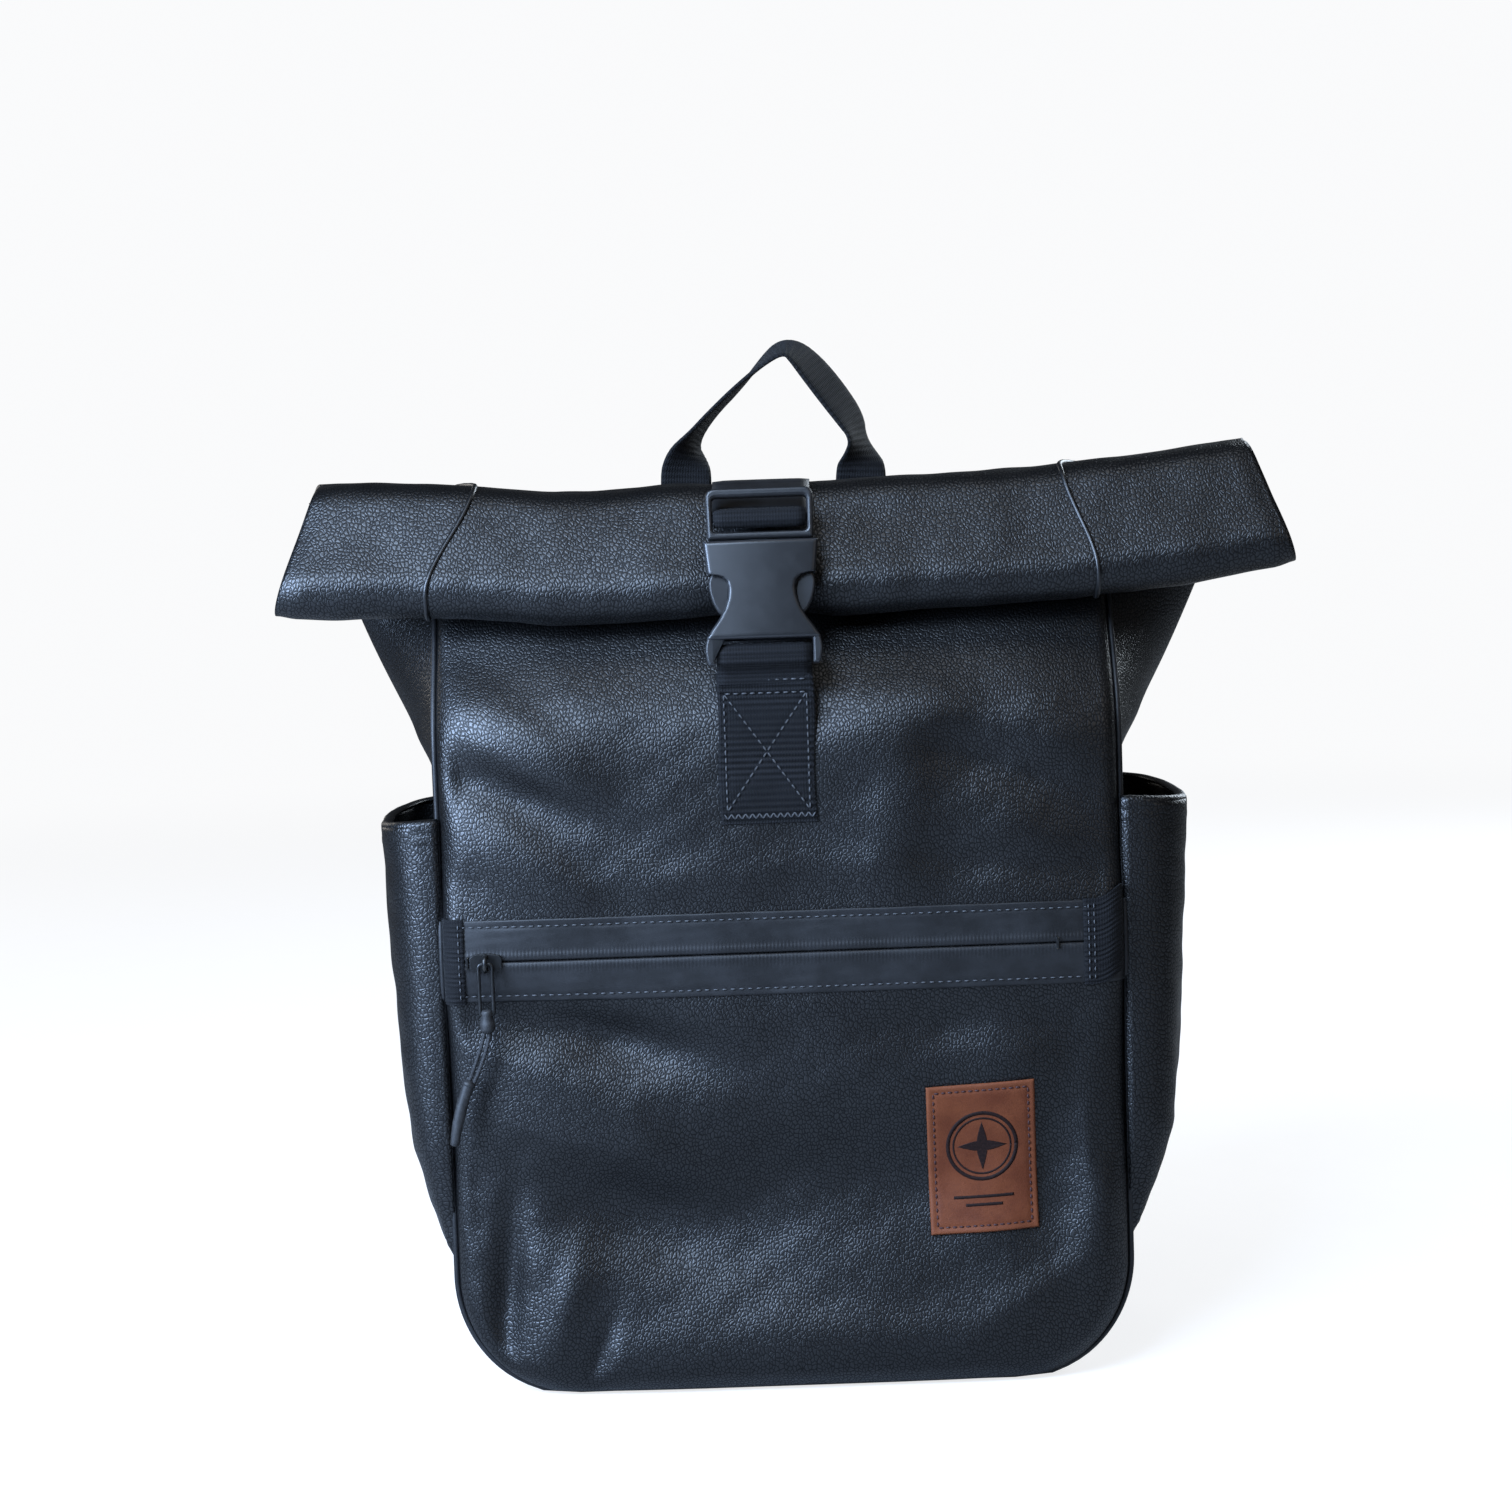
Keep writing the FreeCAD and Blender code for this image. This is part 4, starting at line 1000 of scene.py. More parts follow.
def build_roll():
    line = roll_spiral()
    at = np.linspace(0, 1, len(line))

    def shape(u, v):
        y, z, ny, nz = (np.interp(v, at, line[:, k]) for k in range(4))
        along = v * len(line) * ROLL_STEP
        flare = 1 - smooth(4, 44, along)
        left = -212 + 19 * (z - 343) / 56 - 6.5 * flare
        right = 221 - 16 * (z - 353) / 51 + 5.0 * flare
        inner = smooth(190, 260, along) * 3.0
        x = (left + inner) + (right - left - 2 * inner) * u
        ends = 1.2 * (1 - smooth(0, 9, np.minimum(x - left, right - x))) * smooth(30, 50, along)
        out = roll_surface(x, along) - ends
        return x, y + ny * out, z + nz * out + end_lift(x)
    wrap = sheet("rolled_mouth", len(line) - 1, 200, shape, LEATHER, None, 3.6, offset=0.0)
    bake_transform(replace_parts(wrap, "roll_wrap", "roll_inner_turn"))
    strip = rounded(rect(-184, -15, 184, 15), 6)
    stay = plate("mouth_stay", [strip], 2.4, 0.5, roll_core_place, PLASTIC, "roll")
    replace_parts(stay, "mouth_stiffeners")
    for side, word in SIDES:
        build_roll_seam(side, word)


def roll_core_place(x, y, z):
    """Puts a flat strip in the middle of the roll, leaning with it."""
    mid = (ROLL_HEAD + ROLL_FOOT) / 2
    c, s = direction(ROLL_FRONT_ANGLE - 180)
    return x + 4, mid[0] + y * c - z * s, mid[1] + y * s + z * c + end_lift(x)


def build_roll_seam(side, word):
    """Raised edge of the side seam as it runs over the roll and round under it."""
    line = roll_spiral(0.72, 2.0)
    run = np.arange(len(line)) * ROLL_STEP
    start, head, foot = 146.5, 127.0, 148.0 if side < 0 else 140.0
    x = side * (start + (head - start) * smooth(0, 50, run) + (foot - head) * smooth(52, 108, run))
    out = roll_surface(x, run)
    path = columns([x, line[:, 0] + line[:, 2] * out, line[:, 1] + line[:, 3] * out + end_lift(x)])
    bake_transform(tube("roll_seam_" + word, path, 1.1, LEATHER, None))


# ---------------------------------------------------------------- closing strap and buckle
BAR = pivot("socket_swing")                                 # the socket's webbing bar
STRAP_X = BAR[0]
BUCKLE_UP = np.array(joint("buckle_release")["axis"])
BUCKLE_OUT = np.array([0.0, -BUCKLE_UP[2], BUCKLE_UP[1]])   # out of the buckle's front face
SOCKET_LOW, SOCKET_TOP = -5.3, 47.2                         # heights above the bar
PLUG_LOW, PLUG_TOP = 47.9, 69.7
PLUG_BAR = 57.2
SOCKET_HALF = ((-5.3, 23.2), (-3.4, 24.3), (0.0, 24.9), (3.0, 24.8), (6.5, 23.8), (10.0, 21.6), (14.0, 18.6),
               (18.5, 16.0), (23.0, 14.5), (27.0, 14.1), (30.2, 14.9), (32.0, 16.8), (32.9, 19.6),
               (33.2, 22.7), (36.0, 23.1), (47.2, 24.3))


def on_buckle(x, y, z):
    """x sideways from the strap's middle, y back from the buckle's middle plane, z up from the bar."""
    return (STRAP_X + x, BAR[1] + BUCKLE_UP[1] * z - BUCKLE_OUT[1] * y,
            BAR[2] + BUCKLE_UP[2] * z - BUCKLE_OUT[2] * y)


def buckle_bar(name, half, z, radius, body):
    x = np.linspace(-half, half, 3)
    return tube(name, columns(on_buckle(x, 0 * x, z + 0 * x)), radius, PLASTIC, body)


def buckle_plate(name, loops, depth, bevel, body):
    return plate(name, loops, depth, bevel, on_buckle, PLASTIC, body)


def socket_half(z):
    return np.interp(z, *zip(*SOCKET_HALF))


def build_socket():
    """Two crowned shells with a solid foot, side legs and side walls between them."""
    body = "buckle_socket"
    spans = ((5.3, 26, 26), (26.5, 31, 10), (31.4, 33.3, 14), (34, SOCKET_TOP, 22))
    heights = np.concatenate([np.linspace(*span) for span in spans])
    for name, face, side, crown in (("socket_front", -4.9, -1, 1.5), ("socket_back", 4.6, 1, 0.2)):
        def shape(u, v, face=face, side=side, crown=crown):
            z = np.interp(v, np.linspace(0, 1, len(heights)), heights)
            a, half = 2 * u - 1, socket_half(z)
            x = a * half
            lift = crown * (1 - (x / 25) ** 2)
            rim = np.minimum(half * (1 - np.abs(a)), np.minimum(SOCKET_TOP - z, z - 5.3))
            turn = 0.9 * (1 - np.clip(rim / 1.3, 0, 1)) ** 2
            return on_buckle(x, face + side * (lift - turn), z)
        shell = sheet(name, len(heights) - 1, 60, shape, PLASTIC, body, 1.9, side > 0)
        if side < 0:
            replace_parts(shell, "buckle_female")
    for side in (-1, 1):
        leg = [(side * socket_half(z), z) for z in np.linspace(SOCKET_LOW, 15, 12)]
        leg += [(side * x, z) for x, z in ((14.0, 15), (14.0, 7.6), (20.7, 7.6), (20.7, SOCKET_LOW))]
        buckle_plate("socket_leg_%d" % side, [leg[::side]], 9.0, 1.0, body)
        wall = [(side * x, z) for x, z in ((21.3, 34.0), (23.0, 34.0), (24.1, 46.9), (21.3, 46.9))]
        buckle_plate("socket_wall_%d" % side, [wall[::side]], 8.0, 0.3, body)
    foot = rounded([(-19.5, 7.6), (19.5, 7.6), (14.5, 16.5), (-14.5, 16.5)], 1.0)
    buckle_plate("socket_foot", [foot], 8.0, 0.4, body)
    buckle_bar("socket_bar", 22.0, 0.0, 2.0, body)


def build_plug():
    corners = [(-22.4, PLUG_LOW), (22.4, PLUG_LOW), (23, PLUG_TOP), (-23, PLUG_TOP)]
    outline = rounded(corners, (1.2, 1.2, 4.5, 4.5))
    opening = rounded(rect(-20.0, 51.1, 20.0, 65.9), 1.8)[::-1]
    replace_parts(buckle_plate("plug_frame", [outline, opening], 7.0, 1.3, "buckle_plug"), "buckle_male")
    buckle_bar("plug_bar", 21.0, PLUG_BAR, 1.9, "buckle_plug")
    buckle_plate("plug_guide", [rounded(rect(-4.5, 30, 4.5, 49), 2.0)], 3.6, 0.6, "buckle_plug")
    shape = rounded([(11.5, 47.6), (16.5, 47.6), (17.4, 36.6), (21.6, 33.2), (22.7, 30.0), (22.4, 26.0),
                     (21.0, 21.0), (18.8, 17.2), (16.6, 15.6), (14.4, 17.4), (13.2, 29.7)], 2.0, 4)
    for side, word in SIDES:
        prong = [(side * a, b) for a, b in shape][::side]
        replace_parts(buckle_plate("prong_" + word, [prong], 5.0, 1.0, "prong_" + word), "buckle_prong_" + word)


def build_closing_strap():
    over = roll_spiral(0.12, 1.9)[:, :2]
    over = over[over[:, 0] < -8]
    z = np.linspace(264, 380, 40)
    slope = columns([back_y(STRAP_X + 0 * z, z) + 1.5, z])
    bridge = [(8.6, 385), (7.6, 389.6), (3.8, 393.0), (-2.0, 394.3)]
    first = np.vstack([slope, bridge, over[over[:, 0] > -36]])
    back = side_view_ribbon("closing_strap_back", first, STRAP_X, 40.0, 1.7, FINE_LEATHER, None)
    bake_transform(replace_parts(back, "top_strap_back"))
    _, bar_y, bar_z = on_buckle(0.0, 0.0, PLUG_BAR)
    leave = over[over[:, 0] > -39][-1]
    target = np.array([bar_y + 4.6, bar_z + 1.4])
    sag = np.array([-1.2, 1.6])
    hang = [between(leave, target, t) + sag * math.sin(math.pi * t) for t in np.linspace(0, 1, 14)]
    last = np.vstack([over[(over[:, 0] < -24) & (over[:, 0] > -39)][:-1], hang])
    shift = np.linspace(STRAP_X + 1.6, STRAP_X, len(last))
    front = side_view_ribbon("closing_strap_front", last, shift, 42.0, 1.8, FINE_LEATHER, None)
    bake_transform(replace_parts(front, "top_strap_front"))
    turn = np.radians(np.linspace(-40, 322, 40))
    ring = columns([bar_y + 3.1 * np.cos(turn), bar_z + 3.4 * np.sin(turn)])
    sleeve = side_view_ribbon("plug_webbing", ring, STRAP_X, 39.2, 1.6, STRAP_WEB, "buckle_plug", 0.5)
    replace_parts(sleeve, "buckle_bar_loop")
    for k, x in enumerate((STRAP_X - 19.0, STRAP_X + 19.0)):
        path = columns([x + 0 * z, slope[:, 0] + 0.9, z])
        stitches("closing_strap_stitching_%d" % (k + 1), [(path, (0, 0.83, 0.56))], 3.6, 2.1, 0.32)


# ---------------------------------------------------------------- stitched webbing on the front
PAD_X0, PAD_X1, PAD_Z0, PAD_Z1 = -24.9, 16.4, 249.0, 314.0


def pad_y(x, z):
    """The pad lies on the leather below the bend and is pulled straight above it."""
    return front_y(x, np.minimum(z, 284.0)) - 1.4 - 2.2 * smooth(284, PAD_Z1, z)


def build_pad():
    x0, x1, z0, z1 = PAD_X0 + 3.0, PAD_X1 - 3.0, PAD_Z0 + 5.6, PAD_Z1 - 9.0
    hem_z = PAD_Z1 - 3.4
    sewn = (((x0, z0), (x0, z1)), ((x1, z0), (x1, z1)), ((x0, z1), (x1, z1)), ((x0, hem_z), (x1, hem_z)),
            ((x0, z0), (x1, z1)), ((x0, z1), (x1, z0)))

    def shape(u, v):
        z = between(PAD_Z0, PAD_Z1, v)
        x = between(PAD_X0, PAD_X1, u) + 0.5 * np.sin(z / 9.0)
        rib = 0.26 * np.cos(TURN * (z - PAD_Z0) / 2.7)
        border = np.minimum(np.minimum(x - PAD_X0, PAD_X1 - x), np.minimum(z - PAD_Z0, PAD_Z1 - z))
        round_off = 0.7 * (1 - smooth(0, 1.6, border))
        pulled = 0.35 * sum(hump(seam_distance(x, z, line), 0, 1.3) for line in sewn)
        return x, pad_y(x, z) - rib + round_off + pulled, z
    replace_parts(sheet("strap_pad", 220, 36, shape, WEBBING), "strap_anchor_pad")
    rows = [(columns([x, pad_y(x, z) - 0.12, z]), TO_FRONT) for x, z in runs(sewn, 60)]
    stitches("strap_pad_stitching", rows, 3.3, 2.2, 0.33)
    corners = [(PAD_X0 + 1.6 + i * 1.5, PAD_Z0 + (2.2 if i % 2 else 4.4)) for i in range(27)]
    zigzag = [(columns([x, pad_y(x, z) - 0.15, z]), TO_FRONT) for x, z in runs(zip(corners, corners[1:]), 2)]
    stitches("strap_pad_zigzag", zigzag, 2.4, 2.6, 0.30)
    build_webbing_loop()


def seam_distance(x, z, line):
    (xa, za), (xb, zb) = line
    run = math.hypot(xb - xa, zb - za)
    ux, uz = (xb - xa) / run, (zb - za) / run
    along = np.clip((x - xa) * ux + (z - za) * uz, 0, run)
    return np.hypot(x - xa - along * ux, z - za - along * uz)


def build_webbing_loop():
    """Webbing from the pad up round the socket's bar and back down behind itself."""
    top_y = float(pad_y(np.array([STRAP_X]), np.array([PAD_Z1]))[0])
    over = [BAR[1:] + 3.0 * direction(angle) for angle in np.linspace(205, -35, 30)]
    front = [(top_y + 0.6, PAD_Z1 - 5), (top_y - 0.2, PAD_Z1 - 0.5), (top_y - 1.6, PAD_Z1 + 2.2),
             (BAR[1] - 2.6, BAR[2] - 4.0)]
    behind = [(top_y + 3.4, PAD_Z1 + 1.5), (top_y + 2.4, PAD_Z1 - 5)]
    line = np.vstack([front, over, behind])
    loop = side_view_ribbon("socket_webbing", line, STRAP_X, 40.4, 1.6, STRAP_WEB, step=0.5)
    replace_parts(loop, "buckle_webbing_loop")


# ---------------------------------------------------------------- haul handle
HANDLE_FEET = (-36.0, 42.0)


def build_handle():
    """Webbing that leaves the back upright, narrows as it twists, and is pinched at the top."""
    hinge = pivot("handle_swing")
    foot_y, foot_z = hinge[1] + 1.2, hinge[2]
    y = 20.5
    rows = soften([  # x, y, z, then the width direction
        (-36.0, foot_y, foot_z, 1.0, 0.0, 0.0), (-36.0, 45.0, 334.0, 1.0, 0.0, 0.0),
        (-36.0, y + 2.5, 366.0, 1.0, 0.0, 0.0), (-36.2, y, 380.0, 1.0, 0.02, 0.0),
        (-36.4, y, 398.0, 1.0, 0.10, 0.0), (-35.6, y, 408.0, 0.72, 0.68, -0.05),
        (-33.0, y, 415.0, 0.26, 0.96, -0.08), (-24.0, y, 426.0, 0.10, 0.99, -0.05),
        (-10.0, y, 439.0, 0.06, 1.0, -0.04), (2.0, y, 450.5, -0.14, 0.98, 0.12),
        (9.0, y, 455.0, -0.10, 0.95, 0.32), (15.0, y, 453.5, 0.20, 0.88, 0.42),
        (22.0, y, 446.0, 0.44, 0.82, 0.36), (31.0, y, 434.0, 0.50, 0.80, 0.34),
        (39.5, y, 421.5, 0.48, 0.84, 0.26), (42.2, y, 413.0, 0.34, 0.94, 0.05),
        (43.0, y, 406.5, 0.62, 0.78, 0.0), (43.2, y, 400.0, 0.96, 0.25, 0.0),
        (42.6, y, 386.0, 1.0, 0.02, 0.0), (42.0, y + 2.5, 366.0, 1.0, 0.0, 0.0),
        (42.0, 45.0, 334.0, 1.0, 0.0, 0.0), (42.0, foot_y, foot_z, 1.0, 0.0, 0.0)])
    loop = ribbon("haul_loop", rows[:, :3], 23.0, 2.2, WEBBING, "haul_handle", rows[:, 3:], 14)
    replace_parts(loop, "haul_handle")
    for x, (_, word) in zip(HANDLE_FEET, SIDES):
        z = np.linspace(266, foot_z, 24)
        foot = back_y(x + 0 * z, z) + 2.4 + 2.6 * smooth(286, foot_z, z)
        side_view_ribbon("handle_foot_" + word, columns([foot, z]), x, 23.0, 2.2, WEBBING)
        corners = rect(x - 9, 269, x + 9, 288)
        lines = runs(around(corners) + [(corners[0], corners[2]), (corners[1], corners[3])], 20)
        sewn = [(columns([px, np.interp(pz, z, foot) + 1.15, pz]), TO_BACK) for px, pz in lines]
        stitches("handle_foot_stitching_" + word, sewn, 3.0, 2.0, 0.33)


# ---------------------------------------------------------------- side pockets
POCKET_Z0, POCKET_Z1 = low("side_pocket_left")[2], high("side_pocket_left")[2]
POCKET_HALF = 56.0
POCKET_HEIGHTS = (62, 66, 84, 107, 150, 210, 252)
POCKET_REACH = {-1: (0.6, 5.0, 12.0, 18.0, 22.0, 24.5, 27.0), 1: (0.6, 6.0, 15.0, 23.5, 27.0, 29.5, 31.5)}


def pocket_point(side, u, z, proud=0.0):
    """Point of a side pocket; u runs from its front edge to its back edge."""
    a = np.pi * (u - 0.5)
    boxy = 0.62
    out = np.sign(np.cos(a)) * np.abs(np.cos(a)) ** boxy
    y = POCKET_HALF * (1 - 0.10 * (1 - smooth(62, 120, z))) * np.sign(a) * np.abs(np.sin(a)) ** boxy
    flat = 1 - np.abs(np.sin(a)) ** 8
    folds = 1.5 * ripple(y, z * 0.45, 2.6 + side, 44) + 0.5 * ripple(y, z, 0.4 + side, 20)
    gather = 0.9 * np.sin(y / 3.1) * (1 - smooth(66, 84, z)) * flat
    reach = np.interp(z, POCKET_HEIGHTS, POCKET_REACH[side]) + proud
    x = half_width(z) + 0.4 + reach * out + folds * flat * smooth(66, 90, z) + gather
    droop = 2.2 * np.cos(a) * smooth(200, POCKET_Z1, z)
    return side * x, y + np.sign(y) * proud * (1 - flat), z - droop


def build_side_pocket(side, word):
    band = POCKET_Z1 - 9.5
    turned = 0.72           # share of the hem's rows before it folds inwards

    def cup_shape(u, v):
        return pocket_point(side, u, between(POCKET_Z0, POCKET_Z1, v))

    def hem_shape(u, v):
        fold_over = np.clip((v - turned) / (1 - turned), 0, 1)
        z = band + (POCKET_Z1 + 0.6 - band) * np.minimum(v / turned, 1)
        proud = 1.3 * smooth(0, 0.10, v) * np.cos(fold_over * math.pi / 2) - 2.6 * fold_over
        x, y, z = pocket_point(side, u, z, proud - 0.30 * hump(v, 0.40, 0.07))
        return x, y, z + 0.9 * np.sin(fold_over * math.pi)
    cup = sheet("pocket_leather_" + word, 96, 110, cup_shape, LEATHER, flip=side > 0)
    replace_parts(cup, "side_pocket_" + word)
    hem = sheet("pocket_rim_" + word, 24, 110, hem_shape, LEATHER, thickness=0.9, flip=side > 0)
    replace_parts(hem, "pocket_hem_" + word)
    u = np.linspace(0.015, 0.985, 90)
    line = columns(pocket_point(side, u, np.full(90, band + 5.0), 1.5))
    out = columns([side * np.cos(np.pi * (u - 0.5)), np.sin(np.pi * (u - 0.5)), 0 * u])
    stitches("pocket_stitching_" + word, [(line, out)], 3.6, 2.1, 0.31)
    for (_, place), u in zip(FACES, (0.004, 0.996)):
        x, y, z = pocket_point(side, u, np.linspace(POCKET_Z0, POCKET_Z1 - 1, 60))
        tube("pocket_welt_%s_%s" % (word, place), columns([x + side * 0.4, y + 0 * z, z]), 1.2, LEATHER)


def build_side_pockets():
    for side, word in SIDES:
        build_side_pocket(side, word)


# ---------------------------------------------------------------- leather patch
PATCH_X, PATCH_Z, PATCH_TURN, PATCH_LEAN = 83.0, 100.0, math.radians(3.0), 0.040
PATCH_HALF = (23.5, 33.0)
PATCH_FACE, PRINT_FACE = 1.75, 1.86   # how far the patch and its print stand off the leather


def on_patch(a, b, proud=PRINT_FACE):
    """Point of the patch from its own sideways and upward coordinates."""
    c, s = math.cos(PATCH_TURN), math.sin(PATCH_TURN)
    x, z = PATCH_X + a * c - b * (s - PATCH_LEAN), PATCH_Z + a * s + b * c
    return x, front_y(x, z) - proud, z


def build_patch():
    brown = patch_leather("patch_leather", (PATCH_X, PATCH_Z), PATCH_HALF)
    mark = flat_print("pressed_mark", (0.0075, 0.0032, 0.0026))
    w, h = PATCH_HALF

    def shape(u, v):
        a, b = (2 * u - 1) * w, (2 * v - 1) * h
        rim = np.minimum(w - np.abs(a), h - np.abs(b))
        sunk = 0.35 * hump(rim, 3.0, 0.8) + 0.45 * (1 - smooth(0, 0.9, rim))
        return on_patch(a, b, PATCH_FACE - sunk + 0.12 * ripple(a, b, 1.0, 14))
    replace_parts(sheet("front_patch", 90, 66, shape, brown, thickness=1.5), "leather_patch")
    lines = runs(around(rect(3 - w, 3 - h, w - 3, h - 3)), 40)
    rows = [(columns(on_patch(a, b, 1.55)), TO_FRONT) for a, b in lines]
    stitches("patch_stitching", rows, 2.9, 2.0, 0.42, MAROON_THREAD)
    printed_round("patch_ring_outer", 2, 72, lambda u, v: 14.0 + 1.6 * v, mark)
    printed_round("patch_ring_inner", 2, 72, lambda u, v: 12.0 + 0.8 * v, mark)
    printed_round("patch_star", 10, 96, star_radius, mark)
    for k, (b, half) in enumerate(((-17.5, 13.0), (-21.0, 8.0))):
        def rule(u, v, b=b, half=half):
            return on_patch((2 * u - 1) * half, b + 1.3 * (v - 0.5))
        sheet("patch_rule_%d" % (k + 1), 2, 30, rule, mark, thickness=0.2)


def star_radius(u, v):
    """Outline of a plain four-pointed compass star."""
    tip, dip = 10.8, 3.1
    phase = np.abs((u * 4) % 1 - 0.5) * 2
    return tip * dip / (tip + (dip - tip) * phase) * v


def printed_round(name, rows, cols, radius, material):
    """Printed shape about the mark's middle, from its radius at each turn u and share v."""
    def shape(u, v):
        r = radius(u, v)
        return on_patch(r * np.cos(TURN * u), 5.0 + r * np.sin(TURN * u))
    sheet(name, rows, cols, shape, material, thickness=0.2, flip=True)


# ---------------------------------------------------------------- the back
def build_back():
    """Yoke, air-mesh cushions and anchor tabs on the back panel."""
    (x0, _, z0), (x1, _, z1) = low("back_yoke"), high("back_yoke")

    def yoke_shape(u, v):
        x, z = between(x0, x1, u), between(z0, z1, v)
        rim = np.minimum(np.minimum(x - x0, x1 - x), np.minimum(z - z0, z1 - z))
        return x, back_y(x, z) + 2.5 - 1.0 * (1 - smooth(0, 1.8, rim)) - 0.3 * hump(rim, 4, 0.9), z
    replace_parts(sheet("yoke_leather", 40, 120, yoke_shape, LEATHER, flip=True), "back_yoke")
    lines = runs(around(rect(x0 + 4, z0 + 4, x1 - 4, z1 - 4)), 60)
    rows = [(columns([x, back_y(x, z) + 2.35, z]), TO_BACK) for x, z in lines]
    stitches("yoke_stitching", rows, 3.6, 2.1, 0.32)
    for side, word in SIDES:
        build_cushion(side, word)
        build_anchor(side, word)


def build_cushion(side, word):
    """Long air-mesh cushion with a piped edge."""
    cx, half_x, cz, half_z = side * 64.0, 50.0, 132.0, 100.0

    def shape(u, v):
        a, b = 2 * u - 1, 2 * v - 1
        x, z = cx + half_x * a * (1 - 0.06 * b * b), cz + half_z * b * (1 - 0.04 * a * a)
        rim = np.minimum(half_x * (1 - np.abs(a)), half_z * (1 - np.abs(b)))
        channel = sum(hump(z, c, 3.0) for c in (cz - 50, cz, cz + 50))
        lift = 1.2 + 3.4 * (1 - (1 - np.clip(rim / 16, 0, 1)) ** 2) - 1.5 * channel * smooth(0, 12, rim)
        return x, back_y(x, z) + np.maximum(lift, 0.7), z
    sheet("back_cushion_" + word, 110, 60, shape, AIR_MESH, thickness=0.8, flip=True)
    lines = runs(around(rect(0, 0, 1, 1)), 60)
    path = np.vstack([columns(shape(u, v))[:-1] for u, v in lines])
    tube("back_cushion_piping_" + word, path, 1.4, FINE_LEATHER, closed=True)


def build_anchor(side, word):
    """Sewn leather tab that holds the lower webbing of a shoulder strap."""
    node = "strap_anchor_" + word
    (x0, y0, z0), (x1, y1, z1) = low(node), high(node)
    inner, outer = (x0, x1) if side > 0 else (x1, x0)
    outline = [(inner, z0), (outer, z0), (outer - side * 7, z1), (inner + side * 2, z1)]
    tab = plate("anchor_tab_" + word, [rounded(outline[::side], 4.0)], 2.6, 0.8,
                shifted(0, (y0 + y1) / 2 + 0.4, 0), LEATHER)
    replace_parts(tab, node)
    line = [(inner + side * 4, z0 + 3.5), (outer - side * 4, z0 + 3.5), (outer - side * 9, z1 - 4),
            (inner + side * 5, z1 - 4)]
    rows = [(columns([x, 0 * x + y1 + 0.5, z]), TO_BACK) for x, z in runs(around(line), 2)]
    stitches("anchor_stitching_" + word, rows, 3.2, 2.0, 0.32)


# ---------------------------------------------------------------- shoulder straps
STRAP_ROOT = (52.0, high("back_panel")[1] + 3.0, 258.0)
STRAP_RUN = joint("tail_slide_right")["axis"]     # direction of the right strap as it hangs
PAD_TOP, PAD_END = 252.0, 100.0
PAD_HALF, PAD_THICK, PAD_BOW = 29.5, 8.6, 26.0
LOCK_TOP = PAD_END - 0.4


def splayed(side, x, y, z):
    """Places a point of the upright strap on the real, splayed one; x is measured from its middle."""
    across, _, down = STRAP_RUN
    drop = STRAP_ROOT[2] - z
    px = STRAP_ROOT[0] + across * drop - down * x
    return side * px, y + 0 * px, STRAP_ROOT[2] + down * drop + across * x


def strap_centre_y(t):
    return STRAP_ROOT[1] + 8.0 * t + PAD_BOW * np.sin(np.pi * 0.92 * t) + 5.5


def strap_half(t):
    return PAD_HALF * (1 - 0.10 * (1 - smooth(0, 0.2, t)) - 0.42 * smooth(0.72, 1.0, t) ** 1.6)


def narrow_webbing(name, centre, body):
    return ribbon(name, centre, 25.0, 1.5, STRAP_WEB, body)


def swell(obj, voxel, pressure, cap):
    """Puffs a closed shape like stuffed fabric; no point moves further than cap (millimetres)."""
    scene = bpy.context.scene
    even = obj.modifiers.new("even", "REMESH")
    even.mode = "VOXEL"
    even.voxel_size = voxel / 1000
    bake(obj)
    start = vertex_array(obj.data)
    cloth = obj.modifiers.new("puff", "CLOTH")
    cloth.settings.use_pressure = True
    cloth.settings.uniform_pressure_force = pressure
    cloth.settings.effector_weights.gravity = 0.0
    for step in range(1, 21):
        scene.frame_set(step)
    bake(obj)
    move = vertex_array(obj.data) - start
    reach = np.linalg.norm(move, axis=1)
    end = start + move * np.minimum(1, cap / 1000 / np.maximum(reach, 1e-9))[:, None]
    obj.data.vertices.foreach_set("co", end.astype(np.float32).ravel())
    scene.frame_set(1)
    finer = obj.modifiers.new("finer", "SUBSURF")
    finer.levels = finer.render_levels = 1
    bake(obj)


def bake(obj):
    """Applies an object's modifiers by taking its evaluated mesh."""
    graph = bpy.context.evaluated_depsgraph_get()
    mesh = bpy.data.meshes.new_from_object(obj.evaluated_get(graph))
    obj.modifiers.clear()
    old, obj.data = obj.data, mesh
    bpy.data.meshes.remove(old)
    mesh.polygons.foreach_set("use_smooth", [True] * len(mesh.polygons))


def build_shoulder_straps():
    for side, word in SIDES:
        body = "shoulder_strap_" + word
        build_strap_pad(side, word, body)
        build_strap_root(side, word)
        build_ladder_lock(side, word, body)
        build_lower_webbing(side, word)


